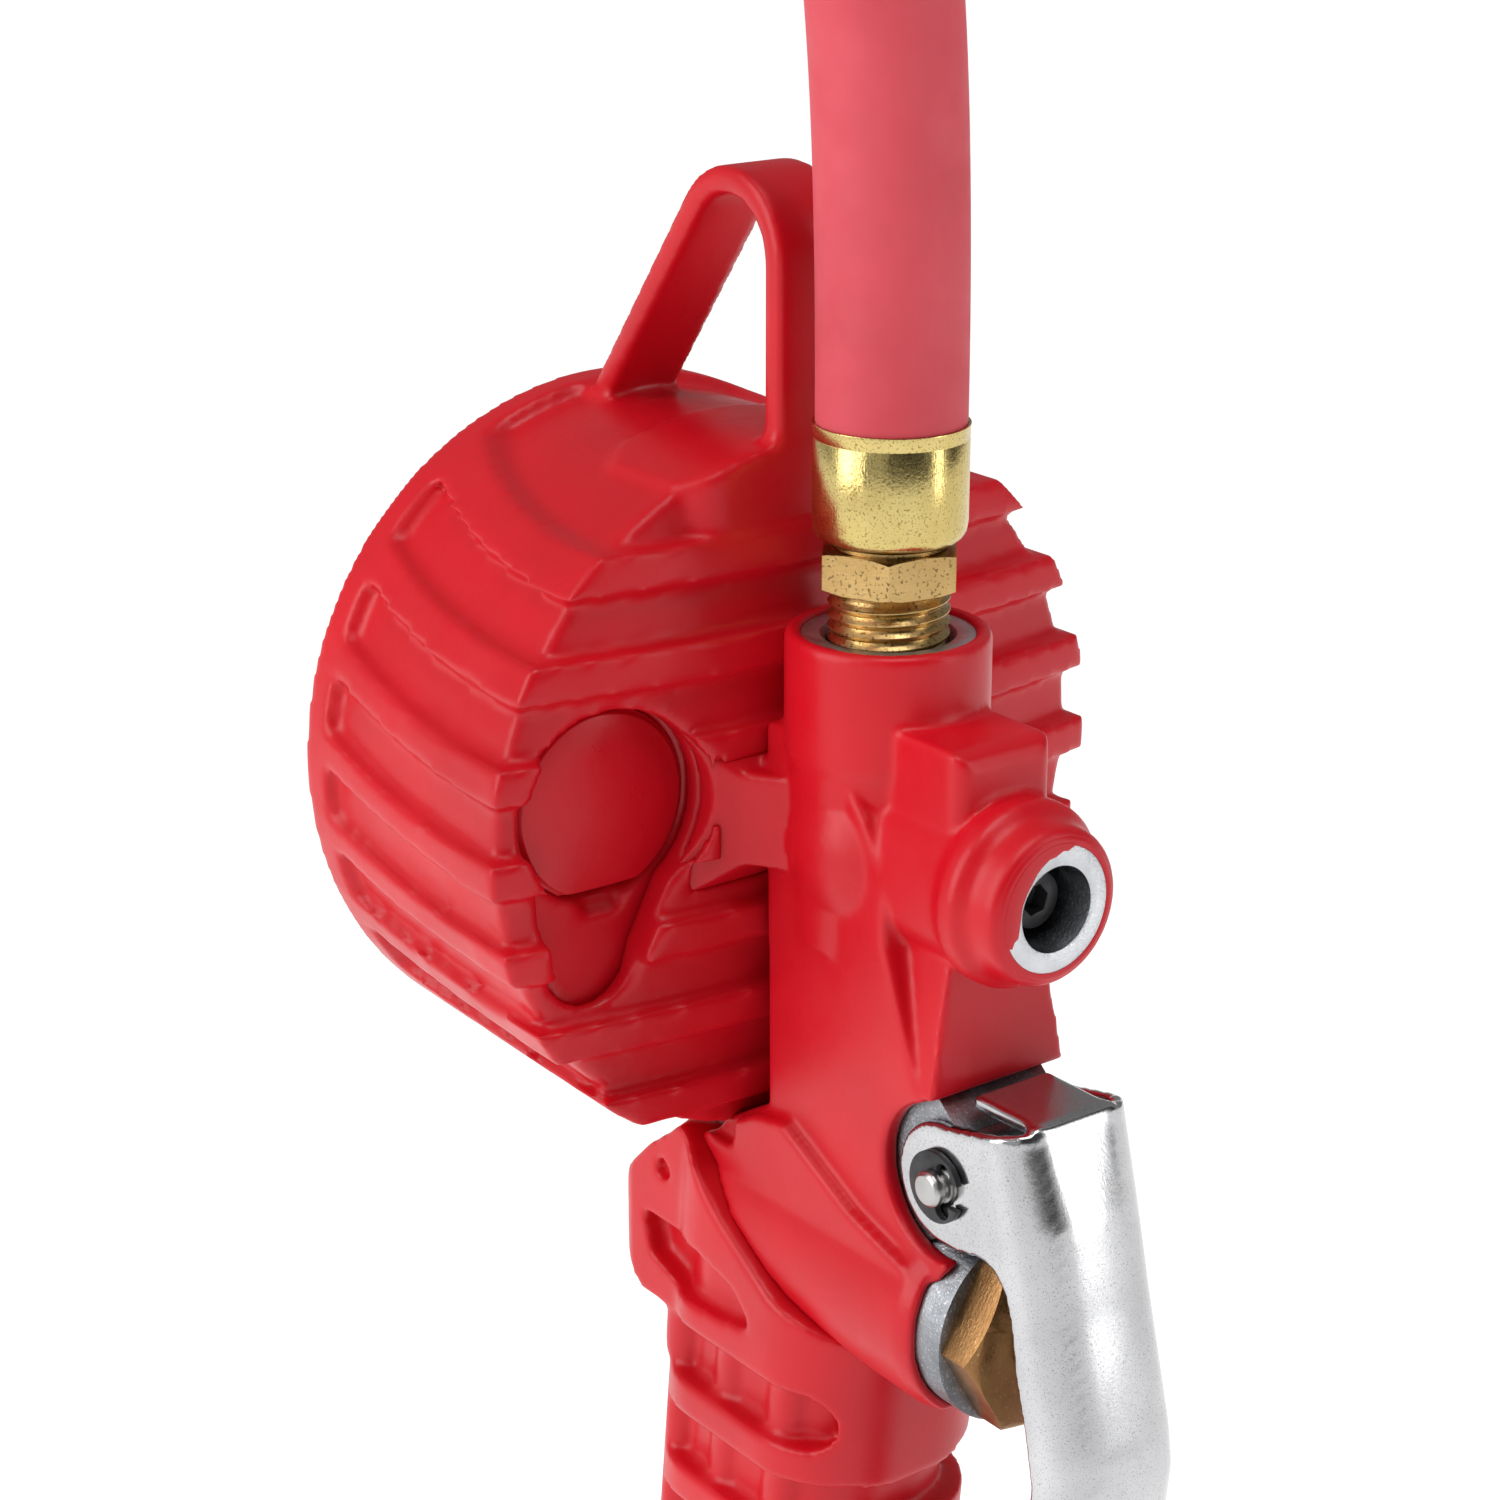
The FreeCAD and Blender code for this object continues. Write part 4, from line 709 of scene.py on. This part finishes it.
jacket_red = red_jacket()
shell_red = red_shell()
plate = plated_zinc()
aluminium = cast_aluminium()
brass = turned_brass()
cup_brass = ferrule_brass()
bronze = old_bronze()
steel = bright_steel()
oxide = black_steel()
black = matt("black moulding", (0.016, 0.016, 0.018), (0.03, 0.03, 0.032), 0.42, 0.58, 1600, 0.00004)
seal = matt("seal rubber", (0.012, 0.012, 0.013), (0.03, 0.03, 0.03), 0.55, 0.75, 1200, 0.00004)
keys = matt("key rubber", (0.04, 0.04, 0.045), (0.07, 0.07, 0.075), 0.50, 0.70, 1800, 0.00003)
display = matt("display", (0.36, 0.41, 0.31), (0.40, 0.45, 0.34), 0.12, 0.22, 900, 0.00001)
board = matt("circuit board green", (0.01, 0.12, 0.045), (0.03, 0.20, 0.08), 0.30, 0.50, 700, 0.00006)

add_hose()
moulded("body_jacket", "jacket", 0.42, 8, jacket_red, "gun", "red_jacket")
moulded("grip_sleeve", "grip", 0.52, 7, jacket_red, "gun", "red_jacket")
moulded("gauge_boot", "boot", 0.65, 5, jacket_red, "gun", "red_jacket")
moulded("gauge_housing", "housing", 0.7, 3, shell_red, "gun", "red_shell")
crisp("battery_door", "battery_cover", 0.15, shell_red, "battery_door", "red_shell")
crisp("body_casting", "casting", 0.15, aluminium, "gun", "cast_aluminium")
squeeze_lever(plate)
hose_insert(brass)
crimped_ferrule(cup_brass)
crisp("valve_body", "valve_nut", 0.18, bronze, "gun", "valve_bronze")
crisp("lever_pin", "pivot_pin", 0.12, steel, "gun", "bright_steel")
crisp("e_clips", "retaining_clips", 0.08, oxide, "gun", "black_oxide_steel")
crisp("gauge_bolt", "socket_screw", 0.12, oxide, "gun", "black_oxide_steel")
crisp("bolt_washer", "spring_washer", 0.08, oxide, "gun", "black_oxide_steel")
crisp("gauge_bezel", "bezel", 0.3, black, "gun", "black_plastic")
crisp("inlet_fitting", "inlet_nut", 0.3, brass, "gun", "brass_fitting")
crisp("chuck_body", "chuck", 0.25, brass, "gun", "brass_fitting")
crisp("chuck_clip", "thumb_clip", 0.2, plate, "chuck_clip", "plated_steel")
milled = milled_aluminium()
milled_face("boss_face", BOSS_RING, RECESS, (0, BOSS_FRONT, BOSS_Z), (0, 1, 0), milled)
milled_face("port_face", PORT_RING, PORT_MOUTH, (0, 0, 0), (0, 0, 1), milled)
boss_flash(jacket_red)
lcd_digits(seal)
paint(steel, "coin_cell", "battery_contact", "valve_spring", "chuck_clip_pin")
paint(brass, "pressure_sensor", "valve_stem", "inlet_strainer", "chuck_depressor")
paint(cup_brass, "chuck_ferrule")
paint(black, "gauge_dial_plate")
paint(clear_lens(), "gauge_lens")
paint(display, "lcd_panel")
paint(board, "circuit_board")
paint(keys, "power_button", "units_button")
paint(seal, "valve_o_ring", "stem_gland_ring", "valve_seat_seal", "inlet_gasket", "chuck_seal")
